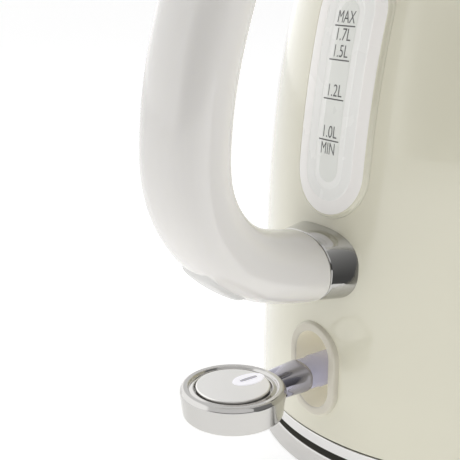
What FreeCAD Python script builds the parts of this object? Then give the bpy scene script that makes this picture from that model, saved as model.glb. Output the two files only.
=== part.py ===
"""Cordless electric kettle on its power base: every piece as its own solid.

Frame: Z is the kettle's axis and points up, z = 0 is the surface it stands on,
-X is the handle side and +X is the spout side. Y = 0 is the plane of symmetry.
All lengths are in millimetres.
"""
import FreeCAD, Part
import math
import os

os.makedirs("parts", exist_ok=True)
V = FreeCAD.Vector
UP = V(0, 0, 1)
SIDE = V(0, 1, 0)
NEAR = 0.01              # lengths closer than this count as equal
CUT_X = (-100, -50)      # cutting prisms run through the handle side of the wall, between these

# ---- body of revolution -------------------------------------------------
BODY_R = 83.0            # radius of the painted wall at its foot
BODY_FOOT = 16.3         # lower edge of the painted wall
BODY_TOP = 216.0         # upper edge of the painted wall
UPRIGHT_TO = 35.0        # the wall is upright up to this height
LEAN = 0.008             # steady lean of the wall above it
DOME_DROP = 9.13         # how far the dome curve has come in after DOME_SPAN
DOME_SPAN = 133.5
DOME_POWER = 3.42
SHELL = 0.9              # sheet thickness of the painted wall
RING_R = 80.4            # inner radius of the bright ring under the wall
RING_FOOT = 11.3         # lower edge of that ring
BODY_RING = [(82.65, RING_FOOT), (BODY_R, 15.9), (82.9, BODY_FOOT), (RING_R, BODY_FOOT),
             (RING_R, RING_FOOT)]

# ---- underside, heater and connector half in the kettle's floor ---------
COVER_R = 80.3           # the plastic cover under the kettle
COVER_LOW = 10.9
COVER_HIGH = 12.9
COVER_LIP_R = 78.6       # inner radius of the cover's upright lip
COVER_LIP_TOP = 20.0
PLATE_Z = 60.0           # underside of the heating plate
PLATE = 0.8              # its thickness
PLATE_RIM_TOP = 66.0     # top of the plate's turned-up rim
SEAL_GROOVE = 2.2        # gap between the plate's rim and the wall
SPREADER = (51.0, 57.5)  # radius and lower face of the aluminium spreader
ELEMENT_R = 46.0         # middle radius of the bent heating element
ELEMENT_TUBE_R = 3.5
ELEMENT_Z = 54.0
ELEMENT_SWEEP = 310      # degrees that it runs round
ELEMENT_ENDS = (155, 205)            # directions of its two ends, in degrees
TAIL_R = 3.0
TAIL_LOW = 42.0
SOCKET_R = 18.2          # the connector half's cavity, which the base's post fills
SOCKET_TOP = 27.4
CONTROLLER = (22.4, 11.2, 50.0)      # radius, lowest and highest point of its block
CONTROLLER_NECK_R = 9.0
PIN_CONTACT_R = 2.3
RING_CONTACTS = ((8.8, 8.0), (13.8, 13.0))
CONTACT_LOW = 15.0
STEAM_TUBE = (-53.0, 24.0)           # where the steam tube stands
STEAM_TUBE_R = (4.5, 3.4)            # its outer and inner radius
STEAM_TUBE_Z = (48.0, 192.0)

# ---- water gauge, a long window with round ends -------------------------
GAUGE_Y = -2.5                       # the gauge stands this far off the middle plane
GAUGE_RIM = (17.6, 97.9, 184.4)      # half width, lowest and highest point of its rim
GAUGE_PANE = (15.4, 100.1, 182.2)    # the same three of the clear pane
PANE_DEPTH = -1.05                   # the pane's face stands proud of the painted wall
RIM_DEPTH = (-1.1, 1.2)              # depths of the rim's outer and inner face
RIM_LIP = (-0.45, 0.9)               # depth of the rim's lower step, and the step's width
FLANGE_DEPTH = (1.25, 2.4)           # the same of the pane's flange behind the wall
SEAL_DEPTH = (2.45, 3.6)             # the same of the rubber seal behind the flange
FLANGE_GROW = 1.2                    # the flange reaches this far past the rim
SEAL_HOLE_HALF = 13.2
SLIP = 0.05                          # gap between pieces that are set into one another

# ---- handle -------------------------------------------------------------
GRIP_HALF_WIDTH = 16.3   # across, along Y
GRIP_HALF_DEPTH = 12.15  # in the plane of the handle
GRIP_POWER = 2.2         # 2 is an ellipse, larger is squarer
GRIP_WALL = 2.4
GRIP_LINE = [(-84, 81.9), (-91.2, 82.7), (-106, 85.4), (-120.3, 91.9), (-131, 102.5),
             (-136.8, 115.5), (-137.6, 133), (-135, 152), (-130.2, 170), (-123.4, 188),
             (-114.5, 201), (-101, 207.6), (-86.5, 205.8), (-72.8, 200.5), (-66, 197.8)]
LOW_JOINT_X = -90.8      # the lower collar ends here, in a plane across X
LOW_JOINT_Z = 82.8
TOP_FOOT = V(-64, 0, 197)        # middle of the upper collar on the wall
TOP_OUT = V(-0.93, 0, 0.3676)    # the way the upper collar points
LOW_FOOT = V(-81.8, 0, 82.2)     # middle of the lower collar on the wall
LOW_OUT = V(-1, 0, 0)
COLLAR_LENGTH = 9.0
COLLAR_FOOT = (18.2, 12.7)       # half sizes of a collar where it meets the wall
COLLAR_POWER = (2.2, 2.5)        # squareness of its outer end and of its foot
COLLAR_STEPS = ((9.0, 0.0), (4.5, 0.30), (-3.0, 1.15))   # distance out, share of the flare
JOINT_GAP = 0.4          # shadow gap between a collar and the handle
STRIP_HALF = 9.0         # half width of the strip that closes the grip's inner side
STRIP_DEPTH = 4.0
STRAP = (6.0, 1.0)       # half width and half thickness of the steel strap inside
PAD_FOOT = V(-118.5, 0, 97.5)    # the cover over the handle's screw faces PAD_WAY from here
PAD_WAY = V(-0.62, 0, -0.785)
PAD_SIZE = (21.0, 16.0, 30.0)
PAD_CORNER = 3.0
PAD_RISE = 1.0
COLLAR_SCREW_Y = 10      # the handle's screws stand this far off the middle plane
COLLAR_SCREW_FEET = ((V(-80.6, 0, 82.2), LOW_OUT), (TOP_FOOT - TOP_OUT * 1.6, TOP_OUT))
COLLAR_SCREW = (3.4, 2.2, 1.8, 8.6, 0.6)     # head radius, height, shank radius, length, overlap

# ---- switch -------------------------------------------------------------
SLOT_Z = 41.5            # middle of the switch slot
SLOT = (8.6, 14.4)       # half width and half height of its opening
BEZEL = (12.2, 18.0)     # half width and half height of its raised rim
BEZEL_FRONT_X = -84.3
BEZEL_EDGE = 0.5         # rounding of its front edge
TUNNEL_WALL = 1.3
TUNNEL_END_X = -68.0
TUNNEL_FLOOR_X = -69.4   # the tunnel's end wall starts here
ARM_SLOT = (7.2, 29.9, 49.9)     # slot in that end wall: half width, lowest and highest point
SWITCH_HOLE = (10.9, 24.9, 58.1)     # the same of the hole in the painted wall
BRACKET = (-66.5, -45.0, -11.0, 11.0, COVER_HIGH, 47.5)
BRACKET_GAP = (-70, -49.0, -7.6, 7.6, 10, 50)
LEAF = (-51.6, -51.0, -4.0, 4.0, 26.0, 43.0)
LEAF_FOOT = (-51.6, -49.0, -4.0, 4.0, 25.4, 26.0)
LAMP_BASE = (-50.9, -49.0, -3.0, 3.0, 44.2, 47.0)
LAMP = (1.5, 3.0, 45.2)              # radius, length and height of the lamp's glass
STEAM_DISC = (7.0, 0.6, -45.0, 36.0)     # radius, thickness, x and z of the bimetal disc
PIVOT_X = -60.0          # lever pivot
PIVOT_Z = 40.5
PIN_R = 1.5
PIN_HALF = 11.0          # half the length of the lever's pin
RUNNING = 0.06           # radial clearance of a pin that turns
LEVER_ROOT_X = -66.0
LEVER_TIP_X = -104.0
LEVER_CORE_X = -102.0    # the clear core inside the sleeve ends here
LEVER_POWER = 2.6
LEVER_SECTIONS = ((-90.0, 6.0, 5.6, PIVOT_Z), (LEVER_TIP_X, 5.6, 4.7, PIVOT_Z - 0.3))
LEVER_ROOT = (6.0, 5.7)  # half sizes at the root
NOSE_X = -98.0           # the sleeve ends in a half round about this place
NOSE_R = 9.5
SLEEVE_END_X = -84.0
HUB_R = 5.6
HUB_HALF = 6.0
WEB = (5.0, 4.6)         # half width and half height of the bar between root and hub
KNOB_X = -119.4          # axis of the round thumb knob at the lever's end
KNOB_R = 18.2
KNOB_TOP = 45.3
KNOB_BOTTOM = 34.3
CAP_LOW = 43.0
CAP_TOP = 45.5
CAP_R = 12.8
CAP_EDGE = 0.5
KNOB_OUTLINE = [(0, KNOB_BOTTOM), (15.5, KNOB_BOTTOM), (17.2, 35.2), (KNOB_R, 43.6), (18.0, 44.6),
                (17.1, KNOB_TOP), (15.4, KNOB_TOP), (15.2, 44.7), (13.3, 45.0), (13.1, CAP_LOW),
                (0, CAP_LOW)]
LENS = (-112.6, 0.2, 6.3, 3.9)       # middle and half sizes of the oval lens
LENS_LOW = 44.6
LENS_HEIGHT = 1.15

# ---- top opening, lid and spout -----------------------------------------
NECK_R = 50.0            # inner radius of the filling neck
RIM_TOP = 219.2
RIM_OUTLINE = [(NECK_R, 206.0), (51.2, 206.0), (51.2, BODY_TOP), (56.2, BODY_TOP), (56.9, 216.9),
               (56.9, 218.5), (56.2, RIM_TOP), (50.8, RIM_TOP), (NECK_R, 218.5)]
LID_R = 55.6
LID_Z = 219.6            # lower edge of the lid's dome
LID_RISE = 17.0
LID_WALL = 1.2
LID_CROWN = LID_Z + LID_RISE
LINER = (53.9, 220.8)    # radius and top of the lid's inner plate
LINER_SKIRT = (48.6, 46.6, 209.5)    # outer radius, inner radius and lower edge of its skirt
LID_SEAL = (49.4, 211.0, 214.0)      # outer radius, lowest and highest point
LID_SCREW_R = 1.9
LID_SCREW = ((LID_SCREW_R, 222.0, LID_CROWN + 7.0), (4.2, 221.0, 222.6))
LID_KNOB = [(0, -0.6), (7.5, -0.6), (7.5, 0.9), (5.2, 2.0), (4.6, 5.0), (7.4, 7.0), (11.6, 9.0),
            (12.4, 11.0), (11.6, 13.4), (8.6, 15.6), (4.5, 16.8), (0, 17.2)]    # heights above the crown
HINGE_X = -60.0
HINGE_Z = 218.2
HINGE_R = 3.0
HINGE_EYE_R = 3.2
HINGE_HALF = 8.6         # half the bracket's width
KNUCKLE_HALF = 4.8       # half the width of the lid's knuckle
HINGE_PIN_HALF = 9.0
HINGE_PLATE = [(-54.5, 211.6), (-60.6, 211.6), (-63.0, 214.4), (-63.2, HINGE_Z), (-56.8, HINGE_Z),
               (-54.5, 217.0)]
KNUCKLE_GAP = (-70, -50, -5.0, 5.0, 214.6, 230)
TONGUE_END_X = -51.0
SPOUT_POWER = 2.15
SPOUT_WALL = 1.3
SPOUT_SECTIONS = ((52, 143, 14, 25.0, 35.0), (76, 160, 26, 22.0, 29.0), (94, 181, 42, 17.0, 20.5),
                  (107, 203, 62, 13.5, 15.5))    # x, z, tilt in degrees, half width, half height
FILTER = (24.5, 112.0, 182.0)        # half width, lowest and highest point of the scale filter
FILTER_RIM = 1.6
FILTER_X = (54.0, 90.0)
MESH_X = (53.0, 54.0)
MESH_PITCH = 5.4
MESH_HOLE_R = 1.6
MESH_FIRST_Z = 120.0
MESH_ROWS = 11
MESH_SIDE_COLUMNS = 3
MESH_NARROW_Y = 14       # columns beyond this keep to the heights in MESH_WIDE_Z
MESH_WIDE_Z = (130, 164)

# ---- power base ---------------------------------------------------------
BASE_TOP_R = 82.5
BASE_TOP = 8.3
BASE_FOOT_R = 83.8
LEDGE_R = 76.0           # the skirt's turned-in ledge ends here
LEDGE_LOW = 7.1
SKIRT_EDGE = 0.6
SKIRT = [(BASE_TOP_R, BASE_TOP), (BASE_FOOT_R, 1.0), (82.0, 1.0), (80.8, LEDGE_LOW),
         (LEDGE_R, LEDGE_LOW), (LEDGE_R, BASE_TOP)]
TABLE_TOP = 10.4         # raised table that carries the kettle
TOP_PLATE = [(17.6, 7.4), (23.5, 7.4), (23.5, TABLE_TOP), (73.0, TABLE_TOP), (75.0, 8.4),
             (75.0, LEDGE_LOW), (80.6, LEDGE_LOW), (80.6, 5.1), (72.6, 5.1), (72.6, 8.2), (26.0, 8.2),
             (26.0, 5.2), (17.6, 5.2)]
BOTTOM = (81.3, 1.2, 3.2)            # radius, lower and upper face of the bottom cover
BOSS_R = 4.5
BOSS_TOP = 8.2
BASE_SCREWS = (3, 45, 30)            # how many, on what radius, first direction in degrees
BASE_SCREW = (3.2, 2.4, 1.6, 8.0)    # head radius and top, shank radius and top
FEET = (4, 68, 45)
FOOT = (7.5, 0.0, 1.2)
FOOT_EDGE = 0.4
POST_R = 17.4            # round connector post in the middle
POST_TOP = 24.4
POST_EDGE = 1.2
POST_HOLE_R = 3.2
POST_GROOVES = ((9.6, 7.2), (14.6, 12.2))    # outer and inner radius of each contact groove
POST_FLOOR = 8.0         # bottom of the pin hole
GROOVE_FLOOR = 10.0
CONTACT_SIZES = ((3.1, 8.0, 9.0), (9.5, 7.3, 10.0, 12.0), (14.5, 12.3, 10.0, 12.0))
GUARD_RING = (22.6, 18.3, 7.8, 10.0)     # outer and inner radius, lower and upper face
CORD_R = 3.1             # the mains lead's gland takes a lead of this radius
GLAND_Z = 4.7
GLAND_FOOT_Y = 74
GLAND_SIZE = (5.6, 3.55)
GLAND_LENGTH = 11.6
UNDERSIDE_SCREWS = (3, 64)           # how many, and on what radius
UNDERSIDE_SCREW = (3.4, 12.3, 1.7, 24.0)
UNDERSIDE_BOSS_R = 5.0


# ---- helpers ------------------------------------------------------------
def save(name, shape):
    """Write one node, after checking that it is made of closed valid solids."""
    solids = shape.Solids
    good = bool(solids) and all(s.isValid() and s.isClosed() for s in solids)
    state = "ok" if good else "BAD"
    print(f"{name:22s} solids {len(solids)}  volume {shape.Volume / 1000:9.3f} cm3  {state}")
    out = solids[0] if len(solids) == 1 else Part.makeCompound(solids)
    out.exportStep(f"parts/{name}.step")


def lathe(outline):
    """Turn a closed outline of (radius, height) points about the kettle's axis."""
    points = [V(r, 0, z) for r, z in outline]
    face = Part.Face(Part.makePolygon(points + points[:1]))
    return face.revolve(V(0, 0, 0), UP, 360)


def at(shape, x, y=0.0, z=0.0):
    """The shape moved by the given distances."""
    moved = shape.copy()
    moved.translate(V(x, y, z))
    return moved


def disc(radius, low, high, x=0.0, y=0.0):
    """An upright cylinder between two heights."""
    return Part.makeCylinder(radius, high - low, V(x, y, low))


def ring(outer, inner, low, high):
    """An upright tube between two heights."""
    return disc(outer, low, high).cut(disc(inner, low - 1, high + 1))


def box(x0, x1, y0, y1, z0, z1):
    """A box between its lowest and highest corners."""
    return Part.makeBox(x1 - x0, y1 - y0, z1 - z0, V(x0, y0, z0))


def body_radius(z):
    """Radius of the painted wall at a height."""
    rise = max(0.0, z - UPRIGHT_TO)
    return BODY_R - LEAN * rise - DOME_DROP * (rise / DOME_SPAN) ** DOME_POWER


def body_solid(inset=0.0, low=BODY_FOOT, high=BODY_TOP, stations=15):
    """Everything inside the painted wall, taken in by inset, between two heights."""
    heights = [low + (high - low) * i / (stations - 1) for i in range(stations)]
    wall = Part.BSplineCurve()
    wall.interpolate([V(body_radius(z) - inset, 0, z) for z in heights])
    foot, top = V(0, 0, low), V(0, 0, high)
    edges = [Part.makeLine(foot, wall.StartPoint), wall.toShape(),
             Part.makeLine(wall.EndPoint, top), Part.makeLine(top, foot)]
    return Part.Face(Part.Wire(edges)).revolve(V(0, 0, 0), UP, 360)


def band(outer_inset, inner_inset, low, high):
    """A layer that follows the painted wall between two depths below its surface."""
    layer = body_solid(outer_inset, low, high)
    return layer.cut(body_solid(inner_inset, low - 1, high + 1))


def slot_prism(half_width, low, high, x0, x1):
    """A prism along X whose section is an upright slot with half-round ends."""
    a, b = low + half_width, high - half_width
    corners = [V(x0, -half_width, a), V(x0, 0, low), V(x0, half_width, a),
               V(x0, half_width, b), V(x0, 0, high), V(x0, -half_width, b)]
    edges = [Part.Arc(corners[0], corners[1], corners[2]).toShape(),
             Part.makeLine(corners[2], corners[3]),
             Part.Arc(corners[3], corners[4], corners[5]).toShape(),
             Part.makeLine(corners[5], corners[0])]
    return Part.Face(Part.Wire(edges)).extrude(V(x1 - x0, 0, 0))


def oval(centre, across, upward, half_across, half_up, power=2.0, steps=24):
    """A closed smooth oval wire; a power above 2 makes it squarer."""
    points = []
    for i in range(steps):
        turn = 2 * math.pi * i / steps
        c, s = math.cos(turn), math.sin(turn)
        a = half_across * math.copysign(abs(c) ** (2 / power), c)
        b = half_up * math.copysign(abs(s) ** (2 / power), s)
        points.append(centre + across * a + upward * b)
    curve = Part.BSplineCurve()
    curve.interpolate(points, PeriodicFlag=True)
    return Part.Wire([curve.toShape()])


def loft(sections):
    """A smooth solid through closed wires."""
    return Part.makeLoft(sections, True, False)


def fillet_edges(shape, radius, wanted):
    """Round the edges for which wanted(edge) is true."""
    chosen = [e for e in shape.Edges if wanted(e)]
    return shape.makeFillet(radius, chosen)


def circle_at(height, radius):
    """A test for full circular edges of one radius at one height."""
    def test(edge):
        limits = edge.BoundBox
        level = abs(limits.ZMin - height) < NEAR and abs(limits.ZMax - height) < NEAR
        return level and abs(limits.XMax - radius) < NEAR
    return test


def around(count, radius, start=0.0):
    """Evenly spaced places on a circle."""
    for i in range(count):
        turn = math.radians(start + 360 * i / count)
        yield radius * math.cos(turn), radius * math.sin(turn)


def joined(pieces):
    """One solid from several that touch or overlap."""
    whole = pieces[0].fuse(pieces[1:])
    return whole.removeSplitter()


def group(pieces):
    """Separate solids kept together in one node."""
    return Part.makeCompound(pieces)


# ---- power base ---------------------------------------------------------
def gland_and_lead():
    """The oval gland before it is bored, and the mains lead's hole."""
    foot = V(0, GLAND_FOOT_Y, GLAND_Z)
    gland = Part.Face(oval(foot, V(1, 0, 0), UP, *GLAND_SIZE)).extrude(SIDE * GLAND_LENGTH)
    lead = Part.makeCylinder(CORD_R, GLAND_LENGTH + 2.4, foot - SIDE, SIDE)
    return gland, lead


def stepped_screw(x, y, low, size):
    """An upright screw with its head at the bottom."""
    head_r, head_top, shank_r, shank_top = size
    return joined([disc(head_r, low, head_top, x, y), disc(shank_r, head_top, shank_top, x, y)])


def make_connector():
    """The round connector post with its hole and grooves, and the contacts in them."""
    post = disc(POST_R, BOTTOM[2], POST_TOP)
    post = fillet_edges(post, POST_EDGE, circle_at(POST_TOP, POST_R))
    post = post.cut(disc(POST_HOLE_R, POST_FLOOR, POST_TOP + 1))
    for outer, inner in POST_GROOVES:
        post = post.cut(ring(outer, inner, GROOVE_FLOOR, POST_TOP + 1))
    middle, *rings = CONTACT_SIZES
    save("base_connector", post)
    save("base_contacts", group([disc(*middle)] + [ring(*size) for size in rings]))
    save("connector_guard_ring", ring(*GUARD_RING))


def make_base():
    """The power base: metal skirt, two plastic plates, gland, feet and screws."""
    skirt = fillet_edges(lathe(SKIRT), SKIRT_EDGE, circle_at(BASE_TOP, BASE_TOP_R))
    bosses = [disc(BOSS_R, BOTTOM[2], BOSS_TOP, x, y) for x, y in around(*BASE_SCREWS)]
    screws = [stepped_screw(x, y, BOTTOM[1], BASE_SCREW) for x, y in around(*BASE_SCREWS)]
    cover = joined([disc(*BOTTOM)] + bosses).cut(group(screws))
    feet = [fillet_edges(disc(*FOOT, x, y), FOOT_EDGE, lambda e: e.BoundBox.ZMax < NEAR)
            for x, y in around(*FEET)]
    gland, lead = gland_and_lead()
    save("base_skirt", skirt.cut(gland).cut(lead))
    save("base_top_plate", lathe(TOP_PLATE).cut(gland).cut(lead))
    save("base_bottom_cover", cover.cut(gland).cut(lead))
    save("base_screws", group(screws))
    save("base_feet", group(feet))
    save("cord_gland", gland.cut(lead))


# ---- kettle: walls, floor and underside ---------------------------------
def collar_screws():
    """Four screws that go out through the wall into the two handle collars."""
    head_r, head_height, shank_r, shank_length, overlap = COLLAR_SCREW
    screws = []
    for middle, way in COLLAR_SCREW_FEET:
        for y in (-COLLAR_SCREW_Y, COLLAR_SCREW_Y):
            foot = middle + SIDE * y - way * overlap
            head = Part.makeCylinder(head_r, head_height, foot, way * -1)
            shank = Part.makeCylinder(shank_r, shank_length, foot, way)
            screws.append(joined([head, shank]))
    return screws


def make_underside():
    """The metal ring and the plastic cover that close the kettle below."""
    places = list(around(*UNDERSIDE_SCREWS))
    bosses = [disc(UNDERSIDE_BOSS_R, COVER_HIGH, PLATE_Z, x, y) for x, y in places]
    screws = [stepped_screw(x, y, COVER_LOW, UNDERSIDE_SCREW) for x, y in places]
    floor = ring(COVER_R, GUARD_RING[0], COVER_LOW, COVER_HIGH)
    lip = ring(COVER_R, COVER_LIP_R, COVER_HIGH, COVER_LIP_TOP)
    save("body_ring", lathe(BODY_RING))
    save("underside_cover", joined([floor, lip] + bosses).cut(group(screws)))
    save("underside_screws", group(screws))


def make_heater(tube_hole):
    """The heating plate with its seal, aluminium spreader and bent element."""
    wall = body_radius(PLATE_Z) - SHELL
    rim = wall - SEAL_GROOVE
    plate = lathe([(0, PLATE_Z), (rim - 1.0, PLATE_Z), (rim, PLATE_Z + 1.0), (rim, PLATE_RIM_TOP),
                   (rim - PLATE, PLATE_RIM_TOP), (rim - PLATE, PLATE_Z + PLATE), (0, PLATE_Z + PLATE)])
    seal = ring(wall - 0.4, rim, PLATE_Z + 0.4, PLATE_RIM_TOP - 1.0)
    spreader_r, spreader_low = SPREADER
    element = Part.makeTorus(ELEMENT_R, ELEMENT_TUBE_R, V(0, 0, ELEMENT_Z), UP, -180, 180,
                             ELEMENT_SWEEP)
    element.rotate(V(0, 0, 0), UP, ELEMENT_ENDS[1])
    tails = []
    for direction in ELEMENT_ENDS:
        x, y = next(around(1, ELEMENT_R, direction))
        tails.append(disc(TAIL_R, TAIL_LOW, ELEMENT_Z, x, y))
    save("heating_plate", plate.cut(tube_hole))
    save("vessel_seal", seal)
    save("heat_spreader", disc(spreader_r, spreader_low, PLATE_Z))
    save("heating_element", joined([element] + tails))


def make_controller():
    """The round connector half in the kettle's floor, with its pin and rings."""
    _, low, high = CONTROLLER
    block = disc(*CONTROLLER).cut(disc(SOCKET_R, low - 0.2, SOCKET_TOP))
    neck = disc(CONTROLLER_NECK_R, high, SPREADER[1])
    rings = [ring(outer, inner, CONTACT_LOW, SOCKET_TOP) for outer, inner in RING_CONTACTS]
    save("controller_body", joined([block, neck]))
    save("controller_contacts", group([disc(PIN_CONTACT_R, CONTACT_LOW, SOCKET_TOP)] + rings))


def make_body(spout_bore):
    """The painted steel wall with its openings for gauge, switch, spout and screws."""
    wall = band(0.0, SHELL, BODY_FOOT, BODY_TOP)
    switch = slot_prism(*SWITCH_HOLE, *CUT_X)
    wall = wall.cut(gauge_prism(GAUGE_RIM)).cut(switch).cut(spout_bore)
    for screw in collar_screws():
        wall = wall.cut(screw)
    save("body_shell", wall)
    save("handle_screws", group(collar_screws()))


def grown(slot, by):
    """A slot's half width, lowest and highest point, grown all round."""
    half_width, low, high = slot
    return half_width + by, low - by, high + by


def gauge_prism(slot):
    """A prism through the wall at the gauge, with a slot as its section."""
    return at(slot_prism(*slot, *CUT_X), 0, GAUGE_Y)


def gauge_layer(depths, slot):
    """A layer of the wall between two depths, inside a slot."""
    _, low, high = grown(GAUGE_RIM, 4.0)
    return band(*depths, low, high).common(gauge_prism(slot))


def make_gauge():
    """The water gauge: raised painted rim, clear pane and the rubber seal behind it."""
    lip_depth, step = RIM_LIP
    lip = gauge_layer((lip_depth, RIM_DEPTH[1]), grown(GAUGE_RIM, -SLIP))
    crest = gauge_layer(RIM_DEPTH, grown(GAUGE_RIM, -step))
    rim = joined([lip, crest]).cut(gauge_prism(GAUGE_PANE))
    flange_slot = grown(GAUGE_RIM, FLANGE_GROW)
    face = gauge_layer((PANE_DEPTH, FLANGE_DEPTH[1]), grown(GAUGE_PANE, -SLIP))
    flange = gauge_layer(FLANGE_DEPTH, flange_slot)
    hole = grown(GAUGE_RIM, SEAL_HOLE_HALF - GAUGE_RIM[0])
    seal = gauge_layer(SEAL_DEPTH, flange_slot).cut(gauge_prism(hole))
    save("gauge_rim", rim)
    save("gauge_pane", joined([face, flange]))
    save("gauge_seal", seal)


# ---- handle -------------------------------------------------------------
def grip_curve():
    """The smooth middle line of the handle, from the lower to the upper collar."""
    curve = Part.BSplineCurve()
    curve.interpolate([V(x, 0, z) for x, z in GRIP_LINE])
    return curve


def grip_sweep(grow, power=GRIP_POWER):
    """The handle's tube, larger all round by grow."""
    curve = grip_curve()
    start = curve.value(curve.FirstParameter)
    ahead = curve.tangent(curve.FirstParameter)[0]
    upward = ahead.cross(SIDE).normalize()
    section = oval(start, SIDE, upward, GRIP_HALF_WIDTH + grow, GRIP_HALF_DEPTH + grow, power)
    return swept(curve, section)


def swept(curve, section):
    """A solid from a closed section carried along a curve in the plane Y = 0."""
    sweep = Part.BRepOffsetAPI.MakePipeShell(Part.Wire([curve.toShape()]))
    sweep.setBiNormalMode(SIDE)
    sweep.add(section)
    sweep.build()
    sweep.makeSolid()
    return sweep.shape()


def strap_sweep(half_width, half_depth, shift=0.0):
    """A flat strip along the handle's middle line, moved outwards by shift."""
    curve = grip_curve()
    start = curve.value(curve.FirstParameter)
    ahead = curve.tangent(curve.FirstParameter)[0]
    upward = ahead.cross(SIDE).normalize()
    corners = [start + SIDE * (half_width * a) + upward * (half_depth * b + shift)
               for a, b in ((-1, -1), (1, -1), (1, 1), (-1, 1))]
    return swept(curve, Part.makePolygon(corners + corners[:1]))


def half_space_block(point, way):
    """A large block on the far side of a plane, ahead of it along way."""
    block = Part.makeBox(200, 200, 200, V(-100, -100, 0))
    turn = FreeCAD.Rotation(UP, way)
    block.Placement = FreeCAD.Placement(point, turn)
    return block


def make_collar(middle, way):
    """A metal collar that flares from the handle's end to the painted wall."""
    upward = way.cross(SIDE).normalize()
    sections = []
    for step, share in COLLAR_STEPS:
        wide = GRIP_HALF_WIDTH + (COLLAR_FOOT[0] - GRIP_HALF_WIDTH) * share
        high = GRIP_HALF_DEPTH + (COLLAR_FOOT[1] - GRIP_HALF_DEPTH) * share
        power = COLLAR_POWER[0] + (COLLAR_POWER[1] - COLLAR_POWER[0]) * min(share, 1.0)
        sections.append(oval(middle + way * step, SIDE, upward, wide, high, power))
    return loft(sections).cut(body_solid())


def make_pad():
    """The cover over the handle's screw, a thin pad that follows the grip."""
    long, wide, tall = PAD_SIZE
    area = Part.makeBox(long, wide, tall, V(-long / 2, -wide / 2, 0))
    area = fillet_edges(area, PAD_CORNER, lambda e: e.BoundBox.ZLength > tall - 1)
    area.Placement = FreeCAD.Placement(PAD_FOOT, FreeCAD.Rotation(UP, PAD_WAY))
    return grip_sweep(PAD_RISE).cut(grip_sweep(0.0)).common(area)


def grip_ends():
    """Two blocks that cut the grip off square at its collars."""
    low = half_space_block(V(LOW_JOINT_X - JOINT_GAP, 0, LOW_JOINT_Z), V(1, 0, 0))
    top_end = TOP_FOOT + TOP_OUT * (COLLAR_LENGTH + JOINT_GAP)
    top = half_space_block(top_end, TOP_OUT * -1)
    return low.common(box(-100, 0, -60, 60, 40, 130)), top.common(box(-100, 0, -60, 60, 150, 260))


def make_handle():
    """The hollow handle in two shells, its steel strap, collars and screw cover."""
    low_cut, top_cut = grip_ends()
    tube = grip_sweep(0.0).cut(low_cut).cut(top_cut)
    shell = tube.cut(grip_sweep(-GRIP_WALL))
    outer = shell.cut(strap_sweep(STRIP_HALF, STRIP_DEPTH, -GRIP_HALF_DEPTH))
    inner = shell.common(strap_sweep(STRIP_HALF - SLIP, STRIP_DEPTH, -GRIP_HALF_DEPTH))
    strap = strap_sweep(*STRAP).cut(body_solid())
    holes = group(collar_screws())
    save("handle_outer", outer)
    save("handle_inner", inner)
    save("handle_strap", strap)
    save("handle_screw_cover", make_pad())
    save("lower_collar", make_collar(LOW_FOOT, LOW_OUT).cut(strap).cut(holes))
    save("upper_collar", make_collar(TOP_FOOT, TOP_OUT).cut(strap).cut(holes))


# ---- switch -------------------------------------------------------------
def make_bezel():
    """The raised oval rim of the switch slot, with the tunnel behind it."""
    half_w, half_h = SLOT
    rim_w, rim_h = BEZEL
    opening = (half_w, SLOT_Z - half_h, SLOT_Z + half_h)
    front = slot_prism(rim_w, SLOT_Z - rim_h, SLOT_Z + rim_h, BEZEL_FRONT_X, -78.0)
    front = fillet_edges(front, BEZEL_EDGE, lambda e: abs(e.BoundBox.XMax - BEZEL_FRONT_X) < NEAR)
    front = front.cut(body_solid())
    tunnel = slot_prism(*grown(opening, TUNNEL_WALL), BEZEL_FRONT_X + 1.0, TUNNEL_END_X)
    bezel = joined([front, tunnel]).cut(slot_prism(*opening, -90.0, TUNNEL_FLOOR_X))
    return bezel.cut(slot_prism(*ARM_SLOT, -72.0, -60.0))


def make_switch():
    """The switch bezel, bracket, pin, leaf spring and lamp, fixed in the kettle."""
    pin = Part.makeCylinder(PIN_R, 2 * PIN_HALF, V(PIVOT_X, -PIN_HALF, PIVOT_Z), SIDE)
    lamp_r, lamp_length, lamp_z = LAMP
    lamp = Part.makeCylinder(lamp_r, lamp_length, V(LAMP_BASE[0], 0, lamp_z), V(-1, 0, 0))
    disc_r, disc_thick, disc_x, disc_z = STEAM_DISC
    save("switch_bezel", make_bezel())
    save("switch_bracket", box(*BRACKET).cut(box(*BRACKET_GAP)).cut(pin))
    save("lever_pin", pin)
    save("trip_spring", joined([box(*LEAF), box(*LEAF_FOOT)]))
    save("switch_lamp", joined([lamp, box(*LAMP_BASE)]))
    save("steam_disc", Part.makeCylinder(disc_r, disc_thick, V(disc_x, 0, disc_z), V(1, 0, 0)))


def lever_bar(grow, x_root, x_end):
    """The lever's tapering oval bar between two places along X."""
    near, far = LEVER_SECTIONS
    sections = []
    for x, wide, high, z in ((x_root, *LEVER_ROOT, PIVOT_Z), near, (x_end, *far[1:])):
        sections.append(oval(V(x, 0, z), SIDE, UP, wide + grow, high + grow, LEVER_POWER))
    return loft(sections)


def make_knob():
    """The round knob, its cap and the lens in the cap."""
    knob = at(lathe(KNOB_OUTLINE), KNOB_X)
    cap = fillet_edges(disc(CAP_R, CAP_LOW, CAP_TOP), CAP_EDGE, circle_at(CAP_TOP, CAP_R))
    x, y, half_long, half_wide = LENS
    face = Part.Face(oval(V(x, y, LENS_LOW), V(1, 0, 0), SIDE, half_long, half_wide))
    lens = face.extrude(UP * LENS_HEIGHT)
    save("knob_shell", knob)
    save("knob_cap", at(cap, KNOB_X).cut(lens))
    save("knob_lens", lens)
    return knob


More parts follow.
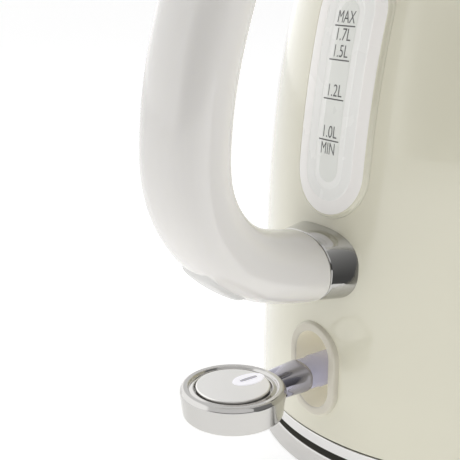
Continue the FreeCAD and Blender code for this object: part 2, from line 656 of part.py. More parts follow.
def make_lever():
    """The lever: clear bar on its pin, and the bright sleeve over its outer end."""
    knob = make_knob()
    nose = Part.makeCylinder(NOSE_R, 40.0, V(NOSE_X, -20, PIVOT_Z), SIDE)
    nose = nose.fuse(box(-120.0, NOSE_X, -20, 20, 20, 60))
    core = lever_bar(-1.0, LEVER_ROOT_X, LEVER_CORE_X)
    sleeve = lever_bar(0.0, SLEEVE_END_X, LEVER_TIP_X).common(nose).cut(core).cut(knob)
    bar = lever_bar(0.0, LEVER_ROOT_X, LEVER_TIP_X).cut(nose)
    hub = Part.makeCylinder(HUB_R, 2 * HUB_HALF, V(PIVOT_X, -HUB_HALF, PIVOT_Z), SIDE)
    web_w, web_h = WEB
    web = box(LEVER_ROOT_X - 4.0, PIVOT_X, -web_w, web_w, PIVOT_Z - web_h, PIVOT_Z + web_h)
    hole = Part.makeCylinder(PIN_R + RUNNING, 30.0, V(PIVOT_X, -15, PIVOT_Z), SIDE)
    save("lever_bar", joined([bar, core.cut(knob), hub, web]).cut(hole))
    save("lever_sleeve", sleeve)


# ---- spout --------------------------------------------------------------
def spout_solid(grow):
    """The spout's full shape, grown all round."""
    sections = []
    for x, z, tilt, across, up in SPOUT_SECTIONS:
        way = V(math.cos(math.radians(tilt)), 0, math.sin(math.radians(tilt)))
        upward = way.cross(SIDE).normalize() * -1
        sections.append(oval(V(x, 0, z), SIDE, upward, across + grow, up + grow, SPOUT_POWER))
    return loft(sections)


def mesh_holes():
    """The filter mesh's round holes."""
    holes = []
    for row in range(MESH_ROWS):
        for column in range(-MESH_SIDE_COLUMNS, MESH_SIDE_COLUMNS + 1):
            y, z = MESH_PITCH * column, MESH_FIRST_Z + MESH_PITCH * row
            if abs(y) < MESH_NARROW_Y or MESH_WIDE_Z[0] < z < MESH_WIDE_Z[1]:
                holes.append(Part.makeCylinder(MESH_HOLE_R, 4.0, V(MESH_X[0] - 2, y, z), V(1, 0, 0)))
    return group(holes)


def make_spout():
    """The spout and, behind its opening, the scale filter with its mesh."""
    bore = spout_solid(-SPOUT_WALL)
    frame = slot_prism(*FILTER, *FILTER_X).cut(slot_prism(*grown(FILTER, -FILTER_RIM), *FILTER_X))
    save("spout", spout_solid(0.0).cut(body_solid()).cut(bore))
    save("filter_frame", frame.common(body_solid(SHELL)))
    save("filter_mesh", slot_prism(*FILTER, *MESH_X).cut(mesh_holes()))
    return bore


# ---- rim and lid --------------------------------------------------------
def make_rim():
    """The bright rim with its filling neck, and the hinge bracket with its pin."""
    rim = lathe(RIM_OUTLINE)
    points = [V(x, -HINGE_HALF, z) for x, z in HINGE_PLATE]
    plate = Part.Face(Part.makePolygon(points + points[:1])).extrude(SIDE * (2 * HINGE_HALF))
    eye = Part.makeCylinder(HINGE_EYE_R, 2 * HINGE_HALF, V(HINGE_X, -HINGE_HALF, HINGE_Z), SIDE)
    pin = Part.makeCylinder(PIN_R, 2 * HINGE_PIN_HALF, V(HINGE_X, -HINGE_PIN_HALF, HINGE_Z), SIDE)
    bracket = joined([plate, eye]).cut(box(*KNUCKLE_GAP))
    save("rim_ring", rim)
    save("hinge_bracket", bracket.cut(body_solid()).cut(rim).cut(pin))
    save("hinge_pin", pin)


def dome_outline(inset, steps=9):
    """Points of the lid's elliptic dome from its edge to its top."""
    points = []
    for i in range(steps):
        turn = 0.5 * math.pi * i / (steps - 1)
        points.append(V((LID_R - inset) * math.cos(turn), 0, LID_Z + (LID_RISE - inset) * math.sin(turn)))
    return points


def dome_solid(inset):
    """The lid's dome as a full solid, taken in by inset."""
    points = dome_outline(inset)
    curve = Part.BSplineCurve()
    curve.interpolate(points[:-1] + [V(0, 0, points[-1].z)])
    foot = V(0, 0, LID_Z)
    edges = [Part.makeLine(foot, points[0]), curve.toShape(), Part.makeLine(curve.EndPoint, foot)]
    return Part.Face(Part.Wire(edges)).revolve(V(0, 0, 0), UP, 360)


def make_hinge_arm():
    """The lid's hinge arm: a knuckle on the pin and a tongue under the dome's edge."""
    knuckle = Part.makeCylinder(HINGE_R, 2 * KNUCKLE_HALF, V(HINGE_X, -KNUCKLE_HALF, HINGE_Z), SIDE)
    tongue = box(HINGE_X, TONGUE_END_X, -KNUCKLE_HALF, KNUCKLE_HALF, LID_Z + 0.1, HINGE_Z + HINGE_R)
    hole = Part.makeCylinder(PIN_R + RUNNING, 14, V(HINGE_X, -7, HINGE_Z), SIDE)
    return joined([knuckle, tongue]).cut(dome_solid(0.0)).cut(hole)


def make_lid():
    """The lid: dome, inner plate with skirt, seal, hinge arm, knob and its screw."""
    screw = joined([disc(*part) for part in LID_SCREW])
    dome = dome_solid(0.0).cut(dome_solid(LID_WALL)).cut(disc(LID_SCREW_R, 230, 245))
    skirt_outer, skirt_inner, skirt_low = LINER_SKIRT
    liner_r, liner_top = LINER
    seal_r, seal_low, seal_high = LID_SEAL
    knob = lathe([(r, LID_CROWN + rise) for r, rise in LID_KNOB])
    save("lid_dome", dome)
    save("lid_liner", joined([disc(liner_r, LID_Z, liner_top),
                              ring(skirt_outer, skirt_inner, skirt_low, LID_Z)]))
    save("lid_seal", ring(seal_r, skirt_outer, seal_low, seal_high))
    save("lid_hinge_arm", make_hinge_arm())
    save("lid_knob", knob.cut(dome_solid(0.0)).cut(screw))
    save("lid_knob_screw", screw)


def make_steam_tube():
    """The tube that leads steam from under the lid down to the switch."""
    outer, inner = STEAM_TUBE_R
    low, high = STEAM_TUBE_Z
    tube = disc(outer, low, high, *STEAM_TUBE)
    save("steam_tube", tube.cut(disc(inner, low - 1, high + 1, *STEAM_TUBE)))
    return tube


def main():
    """Build and save every piece."""
    make_base()
    make_connector()
    make_underside()
    make_heater(make_steam_tube())
    make_controller()
    make_body(make_spout())
    make_gauge()
    make_handle()
    make_switch()
    make_lever()
    make_rim()
    make_lid()


main()
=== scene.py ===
"""Looks of a cordless electric kettle on its power base.

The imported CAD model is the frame. Z is the kettle's axis, -X is the side of the handle and the
switch lever, +X is the side of the spout, and z = 0 is the surface that the base stands on.
Sizes in this file are millimetres; a mesh is brought to metres when it is made.
"""
from __future__ import annotations

import logging
import math
from dataclasses import dataclass
from enum import Enum
from typing import Callable, Sequence

import bmesh
import bpy
import numpy as np
from mathutils import Matrix, Vector


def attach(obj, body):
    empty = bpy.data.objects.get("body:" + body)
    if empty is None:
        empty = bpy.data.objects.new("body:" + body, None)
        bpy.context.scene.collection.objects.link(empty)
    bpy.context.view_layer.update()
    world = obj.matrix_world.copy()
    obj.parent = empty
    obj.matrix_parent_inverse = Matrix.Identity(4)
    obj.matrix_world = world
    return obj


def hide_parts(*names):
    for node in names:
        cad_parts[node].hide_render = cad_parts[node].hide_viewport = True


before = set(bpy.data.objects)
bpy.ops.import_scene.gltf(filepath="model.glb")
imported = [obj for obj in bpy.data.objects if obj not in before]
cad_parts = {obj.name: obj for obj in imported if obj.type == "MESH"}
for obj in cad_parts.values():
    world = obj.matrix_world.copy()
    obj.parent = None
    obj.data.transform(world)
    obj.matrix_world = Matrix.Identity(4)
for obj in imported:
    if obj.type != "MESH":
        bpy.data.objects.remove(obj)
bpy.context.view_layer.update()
LOG = logging.getLogger("kettle")

MM = 0.001
WELD = 2e-6             # points closer than this, in metres, are merged
SLIVER = 1e-6           # edges shorter than this, in metres, are dropped
SMOOTH_ANGLE = math.radians(32)
X_WAY, Y_WAY, Z_WAY = (1, 0, 0), (0, 1, 0), (0, 0, 1)
Points = np.ndarray
Pair = tuple[float, float]
Triple = tuple[float, float, float]
Piece = bpy.types.Object
Node = bpy.types.Node
Socket = bpy.types.NodeSocket


class Body(str, Enum):
    """The rigid bodies that pieces ride on."""

    BASE = "base"
    KETTLE = "kettle"
    LID = "lid"
    LEVER = "lever"


# ---------------------------------------------------------------------------
# Mesh making
# ---------------------------------------------------------------------------
def linked(name: str, data: bpy.types.ID) -> Piece:
    """A new object in the scene that shows the given data."""
    piece = bpy.data.objects.new(name, data)
    bpy.context.scene.collection.objects.link(piece)
    return piece


def evaluated_mesh(piece: Piece) -> bpy.types.Mesh:
    """A plain mesh of a piece as its modifiers or its curve leave it."""
    bpy.context.view_layer.update()
    return bpy.data.meshes.new_from_object(piece.evaluated_get(bpy.context.evaluated_depsgraph_get()))


def new_object(name: str, vertices: Points, faces: Sequence[Sequence[int]]) -> Piece:
    """Make a clean, smooth mesh object from points in millimetres.

    Args:
        name: Name of the piece.
        vertices: Points, one row each, in millimetres.
        faces: Corner indices of each face.

    Returns:
        The linked object, at the origin, with merged doubles and outward faces.
    """
    mesh = bpy.data.meshes.new(name)
    mesh.from_pydata((np.asarray(vertices, float) * MM).tolist(), [], [list(f) for f in faces])
    work = bmesh.new()
    work.from_mesh(mesh)
    bmesh.ops.remove_doubles(work, verts=work.verts, dist=WELD)
    bmesh.ops.dissolve_degenerate(work, edges=work.edges, dist=SLIVER)
    bmesh.ops.recalc_face_normals(work, faces=work.faces)
    work.to_mesh(mesh)
    work.free()
    piece = linked(name, mesh)
    smooth(piece)
    return piece


def outward(piece: Piece) -> None:
    """Turn a closed piece's faces outwards.

    Args:
        piece: The closed piece, changed in place.
    """
    work = bmesh.new()
    work.from_mesh(piece.data)
    bmesh.ops.recalc_face_normals(work, faces=work.faces)
    work.to_mesh(piece.data)
    work.free()


def smooth(piece: Piece, angle: float = SMOOTH_ANGLE) -> None:
    """Shade a piece smooth and keep its real edges sharp."""
    piece.data.shade_smooth()
    piece.data.set_sharp_from_angle(angle=angle)


def grid_faces(rows: int, columns: int, wrap_rows: bool, wrap_columns: bool) -> list[list[int]]:
    """Quads of a grid of points laid out row by row.

    Args:
        rows: Number of rows.
        columns: Number of points in a row.
        wrap_rows: True if the last row joins the first.
        wrap_columns: True if a row's last point joins its first.

    Returns:
        One list of four indices for each quad.
    """
    quads = []
    for i in range(rows if wrap_rows else rows - 1):
        for j in range(columns if wrap_columns else columns - 1):
            a, b = i % rows, (i + 1) % rows
            c, d = j % columns, (j + 1) % columns
            quads.append([a * columns + c, a * columns + d, b * columns + d, b * columns + c])
    return quads


def from_rings(name: str, rings: Sequence[Points], wrap: bool = False,
               caps: bool = True) -> Piece:
    """Skin closed rings of points into one piece.

    Args:
        name: Name of the piece.
        rings: Closed rings with the same number of points.
        wrap: True if the last ring joins the first, as in a tube's wall.
        caps: True to close both ends when the rings don't wrap.

    Returns:
        The finished object.
    """
    count = len(rings[0])
    faces = grid_faces(len(rings), count, wrap, True)
    if caps and not wrap:
        faces.append(list(range(count)))
        last = (len(rings) - 1) * count
        faces.append(list(range(last, last + count)))
    return new_object(name, np.vstack(rings), faces)


def rounded(corners: Sequence[Triple], steps: int = 5) -> list[Pair]:
    """A closed outline with its corners rounded.

    Args:
        corners: (radius from the axis, height, corner radius) of each corner.
        steps: Number of segments in each rounding.

    Returns:
        The outline's points, with a close supporting point beside each rounding.
    """
    outline = []
    count = len(corners)
    for i, (r, z, bend) in enumerate(corners):
        here = np.array([r, z])
        before = np.array(corners[i - 1][:2]) - here
        after = np.array(corners[(i + 1) % count][:2]) - here
        before_length, after_length = np.linalg.norm(before), np.linalg.norm(after)
        if bend <= 0:
            outline.append((r, z))
            continue
        u, v = before / before_length, after / after_length
        half = 0.5 * math.acos(float(np.clip(u @ v, -1, 1)))
        reach = min(bend / math.tan(half), 0.45 * before_length, 0.45 * after_length)
        bend = reach * math.tan(half)
        middle = here + (u + v) / np.linalg.norm(u + v) * (bend / math.sin(half))
        support = min(0.12, 0.05 * before_length, 0.05 * after_length)
        outline.append(tuple(here + u * (reach + support)))
        start, end = here + u * reach - middle, here + v * reach - middle
        sweep = math.pi - 2 * half
        for k in range(steps + 1):
            share = k / steps
            a = math.sin((1 - share) * sweep) / math.sin(sweep)
            b = math.sin(share * sweep) / math.sin(sweep)
            outline.append(tuple(middle + start * a + end * b))
        outline.append(tuple(here + v * (reach + support)))
    return outline


def lathe(name: str, outline: Sequence[Pair], segments: int = 192,
          centre: Pair = (0.0, 0.0)) -> Piece:
    """Turn a closed outline of (radius, height) points about an upright axis.

    Args:
        name: Name of the piece.
        outline: The closed outline.
        segments: Number of steps round the axis.
        centre: Where the axis stands.

    Returns:
        The finished object.
    """
    turn = np.arange(segments) * (2 * math.pi / segments)
    rings = [np.column_stack([centre[0] + r * np.cos(turn), centre[1] + r * np.sin(turn),
                              np.full(segments, z)]) for r, z in outline]
    return new_object(name, np.vstack(rings), grid_faces(len(outline), segments, True, True))


def slot_outline(half_width: float, low: float, high: float, arc: int = 28, side: int = 24) -> Points:
    """Points round an upright slot with half-round ends.

    Args:
        half_width: Half of the slot's width.
        low: Height of its lowest point.
        high: Height of its highest point.
        arc: Points on each half-round end.
        side: Points on each straight side.

    Returns:
        One (y, z) row for each point.
    """
    turn = np.linspace(math.pi, 2 * math.pi, arc, endpoint=False)
    bottom = np.column_stack([half_width * np.cos(turn), low + half_width + half_width * np.sin(turn)])
    rise = np.linspace(low + half_width, high - half_width, side, endpoint=False)
    right = np.column_stack([np.full(side, half_width), rise])
    top = np.column_stack([-bottom[:, 0], high + low - bottom[:, 1]])
    left = np.column_stack([np.full(side, -half_width), high + low - rise])
    return np.vstack([bottom, right, top, left])


def oval_ring(centre: Points, across: Points, upward: Points, half_across: float, half_up: float,
              power: float = 2.0, count: int = 72) -> Points:
    """Points of a closed oval.

    Args:
        centre: Its middle.
        across: Unit vector along its width.
        upward: Unit vector along its height.
        half_across: Half of its width.
        half_up: Half of its height.
        power: 2 for an ellipse, more for a squarer oval.
        count: Number of points.

    Returns:
        One row for each point.
    """
    turn = np.arange(count) * (2 * math.pi / count)
    c, s = np.cos(turn), np.sin(turn)
    a = half_across * np.sign(c) * np.abs(c) ** (2 / power)
    b = half_up * np.sign(s) * np.abs(s) ** (2 / power)
    return np.asarray(centre) + np.outer(a, across) + np.outer(b, upward)


def natural_spline(points: Points, count: int) -> tuple[Points, Points]:
    """A smooth curve through points, spaced by the length of its chords.

    Args:
        points: The points it passes through, in order.
        count: How many places to return.

    Returns:
        The places along the curve and its unit directions there.
    """
    points = np.asarray(points, float)
    knots = np.concatenate([[0], np.cumsum(np.linalg.norm(np.diff(points, axis=0), axis=1))])
    gaps, total = np.diff(knots), len(points)
    system, right = np.eye(total), np.zeros_like(points)
    for i in range(1, total - 1):
        system[i, i - 1:i + 2] = gaps[i - 1], 2 * (gaps[i - 1] + gaps[i]), gaps[i]
        right[i] = 6 * ((points[i + 1] - points[i]) / gaps[i] - (points[i] - points[i - 1]) / gaps[i - 1])
    bend = np.linalg.solve(system, right)
    at = np.linspace(0, knots[-1], count)
    span = np.clip(np.searchsorted(knots, at, side="right") - 1, 0, total - 2)
    h, t = gaps[span][:, None], (at - knots[span])[:, None]
    slope = (points[span + 1] - points[span]) / h - h * (2 * bend[span] + bend[span + 1]) / 6
    change = bend[span + 1] - bend[span]
    places = points[span] + slope * t + bend[span] * t ** 2 / 2 + change * t ** 3 / (6 * h)
    ways = slope + bend[span] * t + change * t ** 2 / (2 * h)
    return places, ways / np.linalg.norm(ways, axis=1)[:, None]


def cut_away(piece: Piece, cutters: Sequence[Piece]) -> None:
    """Cut closed shapes out of a piece and delete them.

    Args:
        piece: The piece, changed in place.
        cutters: The closed shapes.
    """
    for cutter in cutters:
        change = piece.modifiers.new("cut", "BOOLEAN")
        change.operation, change.solver, change.object = "DIFFERENCE", "EXACT", cutter
    result = evaluated_mesh(piece)
    piece.modifiers.clear()
    piece.data = result
    smooth(piece)
    for cutter in cutters:
        bpy.data.objects.remove(cutter)


def joined(name: str, pieces: Sequence[Piece]) -> Piece:
    """One object from several, with their materials kept apart.

    Args:
        name: Name of the joined piece.
        pieces: The objects, of which the first takes in the others.

    Returns:
        The joined object.
    """
    first = pieces[0]
    with bpy.context.temp_override(active_object=first, selected_editable_objects=list(pieces)):
        bpy.ops.object.join()
    first.name = first.data.name = name
    return first


# ---------------------------------------------------------------------------
# Shader groups and finishes
# ---------------------------------------------------------------------------
class NodeTree:
    """Adds, sets and links the nodes of a shader or geometry tree."""

    def __init__(self, tree: bpy.types.NodeTree) -> None:
        """Keep the tree that nodes are added to."""
        self.tree = tree

    def add(self, kind: str, settings: dict[str, object] | None = None, **inputs: object) -> Node:
        """Add a node.

        Args:
            kind: The node's type name; a shader node's goes without its ShaderNode prefix.
            settings: Properties of the node itself.
            **inputs: Values, sockets or numbers for its inputs, each under the input's label with
                underscores for spaces, or under i and the input's place, as in i0.

        Returns:
            The new node.
        """
        whole = kind.startswith(("Node", "GeometryNode", "FunctionNode"))
        node = self.tree.nodes.new(kind if whole else "ShaderNode" + kind)
        for key, value in (settings or {}).items():
            setattr(node, key, value)
        for key, value in inputs.items():
            numbered = key[0] == "i" and key[1:].isdigit()
            self.set(node.inputs[int(key[1:]) if numbered else key.replace("_", " ")], value)
        return node

    def set(self, socket: Socket, value: object) -> None:
        """Link an input to a socket or a number, or give it a value.

        Args:
            socket: The input.
            value: What it takes.
        """
        if isinstance(value, Number):
            value = value.socket
        if isinstance(value, Socket):
            self.tree.links.new(value, socket)
        else:
            socket.default_value = value

    def math(self, operation: str, a: object, b: object = 0.0) -> Number:
        """The result of a Math node on two values."""
        return Number(self, self.add("Math", {"operation": operation}, i0=a, i1=b).outputs[0])

    def split(self, vector: Socket) -> list[Number]:
        """A vector's three parts."""
        return [Number(self, part) for part in self.add("SeparateXYZ", Vector=vector).outputs]


@dataclass(frozen=True)
class Number:
    """A number inside a node tree; a sum written with it becomes Math nodes."""

    nodes: NodeTree
    socket: Socket

    def __add__(self, other: object) -> Number:
        """This number plus another."""
        return self.nodes.math("ADD", self, other)

    def __sub__(self, other: object) -> Number:
        """This number less another."""
        return self.nodes.math("SUBTRACT", self, other)

    def __mul__(self, other: object) -> Number:
        """This number times another."""
        return self.nodes.math("MULTIPLY", self, other)

    def __truediv__(self, other: object) -> Number:
        """This number over another."""
        return self.nodes.math("DIVIDE", self, other)

    def __gt__(self, other: object) -> Number:
        """1 where this number is more than another, else 0."""
        return self.nodes.math("GREATER_THAN", self, other)


@dataclass(frozen=True)
class EffectGroup:
    """A shader effect that several finishes share, built once as a node group."""

    name: str
    inputs: tuple[tuple[str, str, float], ...]
    outputs: tuple[tuple[str, str], ...]
    fill: Callable[[NodeTree, Node, Node], None]

    def tree(self) -> bpy.types.NodeTree:
        """The node group, made at its first use.

        Returns:
            The group, the same one each time.
        """
        if self.name in bpy.data.node_groups:
            return bpy.data.node_groups[self.name]
        group = bpy.data.node_groups.new(self.name, "ShaderNodeTree")
        for name, kind, value in self.inputs:
            socket = group.interface.new_socket(name, in_out="INPUT", socket_type="NodeSocket" + kind)
            if kind == "Float":
                socket.default_value = value
        for name, kind in self.outputs:
            group.interface.new_socket(name, in_out="OUTPUT", socket_type="NodeSocket" + kind)
        nodes = NodeTree(group)
        self.fill(nodes, nodes.add("NodeGroupInput"), nodes.add("NodeGroupOutput"))
        return group

    def use(self, nodes: NodeTree, **inputs: object) -> Node:
        """Place the group in a material with its own values."""
        return nodes.add("Group", {"node_tree": self.tree()}, **inputs)


def relief_filler(texture: str, height: str, distance: float, settings: dict[str, object] | None = None,
                  **pattern: float) -> Callable[[NodeTree, Node, Node], None]:
    """What fills a group that turns a texture into fine relief.

    Args:
        texture: The texture node's type name.
        height: The texture's output that gives the height.
        distance: The relief's full height in metres.
        settings: Properties of the texture node.
        **pattern: Values of the texture's own inputs.

    Returns:
        A function that fills the group.
    """
    def fill(nodes: NodeTree, source: Node, sink: Node) -> None:
        """Lead the texture's height through a bump to the normal.

        Args:
            nodes: The group's tree.
            source: The group's input node.
            sink: The group's output node.
        """
        given = source.outputs
        surface = nodes.add(texture, settings, Vector=given["Vector"], Scale=given["Scale"], **pattern)
        bump = nodes.add("Bump", Strength=given["Strength"], Distance=distance,
                         Height=surface.outputs[height])
        nodes.set(sink.inputs["Normal"], bump.outputs["Normal"])
    return fill


def fill_smudges(nodes: NodeTree, source: Node, sink: Node) -> None:
    """Uneven sheen from handling: a roughness between two values.

    Args:
        nodes: The group's tree.
        source: The group's input node.
        sink: The group's output node.
    """
    given = source.outputs
    broad = nodes.add("TexNoise", Vector=given["Vector"], Scale=given["Scale"], Detail=4.0, Roughness=0.55,
                      Distortion=0.6)
    spread = nodes.add("MapRange", Value=broad.outputs["Fac"], From_Min=0.35, From_Max=0.68,
                       To_Min=given["Low"], To_Max=given["High"])
    nodes.set(sink.inputs["Roughness"], spread.outputs["Result"])


def fill_tint(nodes: NodeTree, source: Node, sink: Node) -> None:
    """A colour that drifts slightly between two tones over the surface.

    Args:
        nodes: The group's tree.
        source: The group's input node.
        sink: The group's output node.
    """
    given = source.outputs
    drift = nodes.add("TexNoise", Vector=given["Vector"], Scale=given["Scale"], Detail=2.0)
    mix = nodes.add("Mix", {"data_type": "RGBA"}, i0=drift.outputs["Fac"], i6=given["Tone A"],
                    i7=given["Tone B"])
    nodes.set(sink.inputs["Color"], mix.outputs[2])


RELIEF_INPUTS = (("Vector", "Vector", 0), ("Scale", "Float", 400), ("Strength", "Float", 0.1))
RELIEF_OUTPUTS = (("Normal", "Vector"),)
RIPPLE = EffectGroup("skin_ripple", RELIEF_INPUTS, RELIEF_OUTPUTS,
                     relief_filler("TexNoise", "Fac", 0.0004, Detail=2.0, Roughness=0.45))
GRAIN = EffectGroup("grinding_grain", RELIEF_INPUTS, RELIEF_OUTPUTS,
                    relief_filler("TexNoise", "Fac", 0.0001, Detail=3.0, Roughness=0.7))
SPECKLE = EffectGroup("moulded_speckle", RELIEF_INPUTS, RELIEF_OUTPUTS,
                      relief_filler("TexVoronoi", "Distance", 0.0002, {"feature": "SMOOTH_F1"},
                                    Randomness=1.0))
SMUDGES = EffectGroup("handling_smudges", (("Vector", "Vector", 0), ("Scale", "Float", 30),
                                           ("Low", "Float", 0.1), ("High", "Float", 0.2)),
                      (("Roughness", "Float"),), fill_smudges)
TINT = EffectGroup("tone_drift", (("Vector", "Vector", 0), ("Scale", "Float", 12), ("Tone A", "Color", 0),
                                  ("Tone B", "Color", 0)), (("Color", "Color"),), fill_tint)


class Grain(Enum):
    """How a surface's fine relief runs."""

    RIPPLE = "ripple"
    SPECKLE = "speckle"
    LINES = "lines"


@dataclass(frozen=True)
class Finish:
    """A surface finish: its two tones, sheen, fine relief and painted glow, an emission that stands in for
    light on a part that is no lamp.
    """

    name: str
    tone_a: Triple
    tone_b: Triple
    metal: float = 0.0
    sheen: Pair = (0.2, 0.3)
    smudge_scale: float = 30.0
    relief: Grain = Grain.RIPPLE
    relief_scale: float = 60.0
    relief_strength: float = 0.1
    stretch: Triple = (1.0, 1.0, 1.0)
    coat: float = 0.0
    coat_roughness: float = 0.03
    ior: float = 1.5
    through: float = 0.0
    under_skin: float = 0.0
    painted_glow: float = 0.0

    def material(self) -> bpy.types.Material:
        """The finish as a material, made at its first use.

        Returns:
            The material, the same one each time.
        """
        if self.name in bpy.data.materials:
            return bpy.data.materials[self.name]
        material = bpy.data.materials.new(self.name)
        material.use_nodes = True
        nodes = NodeTree(material.node_tree)
        place = nodes.add("TexCoord").outputs["Object"]
        mapped = nodes.add("Mapping", Vector=place, Scale=self.stretch).outputs["Vector"]
        tint = TINT.use(nodes, Vector=place, Tone_A=(*self.tone_a, 1), Tone_B=(*self.tone_b, 1))
        smudges = SMUDGES.use(nodes, Vector=place, Scale=self.smudge_scale, Low=self.sheen[0],
                              High=self.sheen[1])
        effect = {Grain.RIPPLE: RIPPLE, Grain.SPECKLE: SPECKLE, Grain.LINES: GRAIN}[self.relief]
        relief = effect.use(nodes, Vector=mapped, Scale=self.relief_scale, Strength=self.relief_strength)
        looks = {"Base Color": tint.outputs["Color"], "Roughness": smudges.outputs["Roughness"],
                 "Normal": relief.outputs["Normal"], "Metallic": self.metal, "IOR": self.ior,
                 "Coat Weight": self.coat, "Coat Roughness": self.coat_roughness,
                 "Transmission Weight": self.through}
        if self.under_skin:
            looks |= {"Subsurface Weight": self.under_skin, "Subsurface Radius": (0.004, 0.004, 0.003)}
        # Painted light: the part emits its own first tone, which lifts its shade and brightens it as if lit.
        if self.painted_glow:
            looks |= {"Emission Color": (*self.tone_a, 1), "Emission Strength": self.painted_glow}
        shader = material.node_tree.nodes["Principled BSDF"]
        for label, value in looks.items():
            nodes.set(shader.inputs[label], value)
        return material


@dataclass(frozen=True)
class Chrome(Finish):
    """A bright plated metal with faint smudges."""

    metal: float = 1.0
    sheen: Pair = (0.035, 0.075)
    smudge_scale: float = 45.0
    relief_scale: float = 120.0
    relief_strength: float = 0.015


@dataclass(frozen=True)
class Brushed(Finish):
    """A metal with fine lines that run one way."""

    metal: float = 1.0
    relief: Grain = Grain.LINES


@dataclass(frozen=True)
class Moulded(Finish):
    """A plastic or rubber with the fine speckle of its mould."""

    relief: Grain = Grain.SPECKLE


@dataclass(frozen=True)
class Milky(Finish):
    """A clear plastic under a coat; where one glows, the glow is painted light standing in for light that
    spreads in it.
    """

    relief_scale: float = 90.0
    relief_strength: float = 0.02
    coat: float = 0.8
    ior: float = 1.49


@dataclass(frozen=True)
class Frosted(Finish):
    """A frosted pane with a painted glow that stands in for light coming through it."""

    sheen: Pair = (0.24, 0.32)
    relief_scale: float = 160.0
    relief_strength: float = 0.02
    coat: float = 0.8
    coat_roughness: float = 0.10
    painted_glow: float = 0.24


ENAMEL = Finish("cream_enamel", (0.800, 0.775, 0.620), (0.815, 0.790, 0.645), sheen=(0.16, 0.22),
                relief_scale=240.0, relief_strength=0.035, coat=1.0, coat_roughness=0.015)
IVORY = Finish("ivory_gloss", (0.770, 0.750, 0.718), (0.790, 0.770, 0.740), sheen=(0.17, 0.24),
               relief_scale=90.0, relief_strength=0.03, coat=0.7, coat_roughness=0.05, under_skin=0.08)
IVORY_COVER = Moulded("ivory_cover", (0.700, 0.695, 0.675), (0.725, 0.718, 0.700), sheen=(0.25, 0.34),
                      relief_scale=2600.0, relief_strength=0.04, coat=0.3)
# Painted light: the bezel glows a little, and its tunnel copy glows strongly to fill the shade inside the
# slot.
BEZEL = Moulded("bezel_satin", (0.665, 0.630, 0.525), (0.690, 0.655, 0.550), sheen=(0.30, 0.38),
                relief_scale=3000.0, relief_strength=0.03, coat=0.25, coat_roughness=0.2, painted_glow=0.08)
BEZEL_TUNNEL_PAINTED_LIGHT = Moulded("bezel_tunnel_painted_light", (0.680, 0.645, 0.510), (0.700, 0.665, 0.530), sheen=(0.34, 0.42),
                      relief_scale=3000.0, relief_strength=0.03, painted_glow=0.34)
CHROME = Chrome("polished_chrome", (0.68, 0.675, 0.665), (0.73, 0.725, 0.715))
# Painted reflection: a darkened copy of the chrome for the collars, standing in for darker reflections than
# the studio gives.
COLLAR_CHROME_PAINTED_DARK = Chrome("collar_chrome_painted_dark", (0.46, 0.455, 0.44), (0.50, 0.495, 0.48))
# Painted reflection: a dimmed copy of the chrome for the knob and the base skirt, darkening what they
# reflect.
KNOB_CHROME_PAINTED_DIM = Chrome("knob_chrome_painted_dim", (0.53, 0.52, 0.505), (0.58, 0.57, 0.555), sheen=(0.05, 0.09))
# The violet tint is the sleeve's own colour; its tone is lowered further as painted shade, for the dark
# reflection on the sleeve.
VIOLET_CHROME_PAINTED_DARK = Chrome("violet_chrome_painted_dark", (0.34, 0.33, 0.40), (0.42, 0.41, 0.48), sheen=(0.05, 0.10),
                       smudge_scale=60.0, relief_scale=130.0, relief_strength=0.03, coat=0.6)
SATIN_CHROME = Brushed("satin_chrome", (0.55, 0.54, 0.52), (0.62, 0.61, 0.59), sheen=(0.14, 0.22),
                       smudge_scale=40.0, relief_scale=500.0, relief_strength=0.03, stretch=(1.0, 1.0, 0.08))
CAP_METAL = Brushed("cap_satin", (0.80, 0.79, 0.77), (0.84, 0.83, 0.81), sheen=(0.30, 0.38),
                    smudge_scale=60.0, relief_scale=900.0, relief_strength=0.05, stretch=(0.12, 1.0, 1.0))
STEEL = Brushed("stainless_steel", (0.55, 0.55, 0.55), (0.62, 0.62, 0.61), sheen=(0.22, 0.36),
                relief_scale=700.0, relief_strength=0.12, stretch=(1.0, 0.06, 1.0))
INNER_STEEL = Brushed("inner_steel", (0.50, 0.50, 0.50), (0.58, 0.58, 0.57), sheen=(0.26, 0.40),
                      relief_scale=500.0, relief_strength=0.10, stretch=(1.0, 1.0, 0.05))
BRASS = Brushed("brass_contact", (0.66, 0.47, 0.20), (0.74, 0.55, 0.27), sheen=(0.2, 0.34),
                relief_scale=600.0, relief_strength=0.1, stretch=(1.0, 0.1, 1.0))
ALUMINIUM = Moulded("cast_aluminium", (0.58, 0.58, 0.59), (0.66, 0.66, 0.67), metal=1.0, sheen=(0.34, 0.5),
                    relief_scale=900.0, relief_strength=0.15)
# Painted light: each pane zone glows, 0.17 on the outer zone and 0.24 on the others, brightening the pane.
PANE = Frosted("frosted_pane", (0.850, 0.832, 0.808), (0.868, 0.850, 0.828), sheen=(0.22, 0.30), painted_glow=0.17)
PANE_STEP = Frosted("pane_step", (0.745, 0.745, 0.722), (0.765, 0.765, 0.744))
PANE_RING = Frosted("pane_ring", (0.785, 0.785, 0.762), (0.805, 0.805, 0.784))
PANE_PANEL = Frosted("pane_panel", (0.690, 0.700, 0.665), (0.712, 0.722, 0.690))
PRINT = Moulded("level_print", (0.085, 0.085, 0.085), (0.12, 0.12, 0.12), sheen=(0.45, 0.55),
                relief_scale=4000.0, relief_strength=0.02)
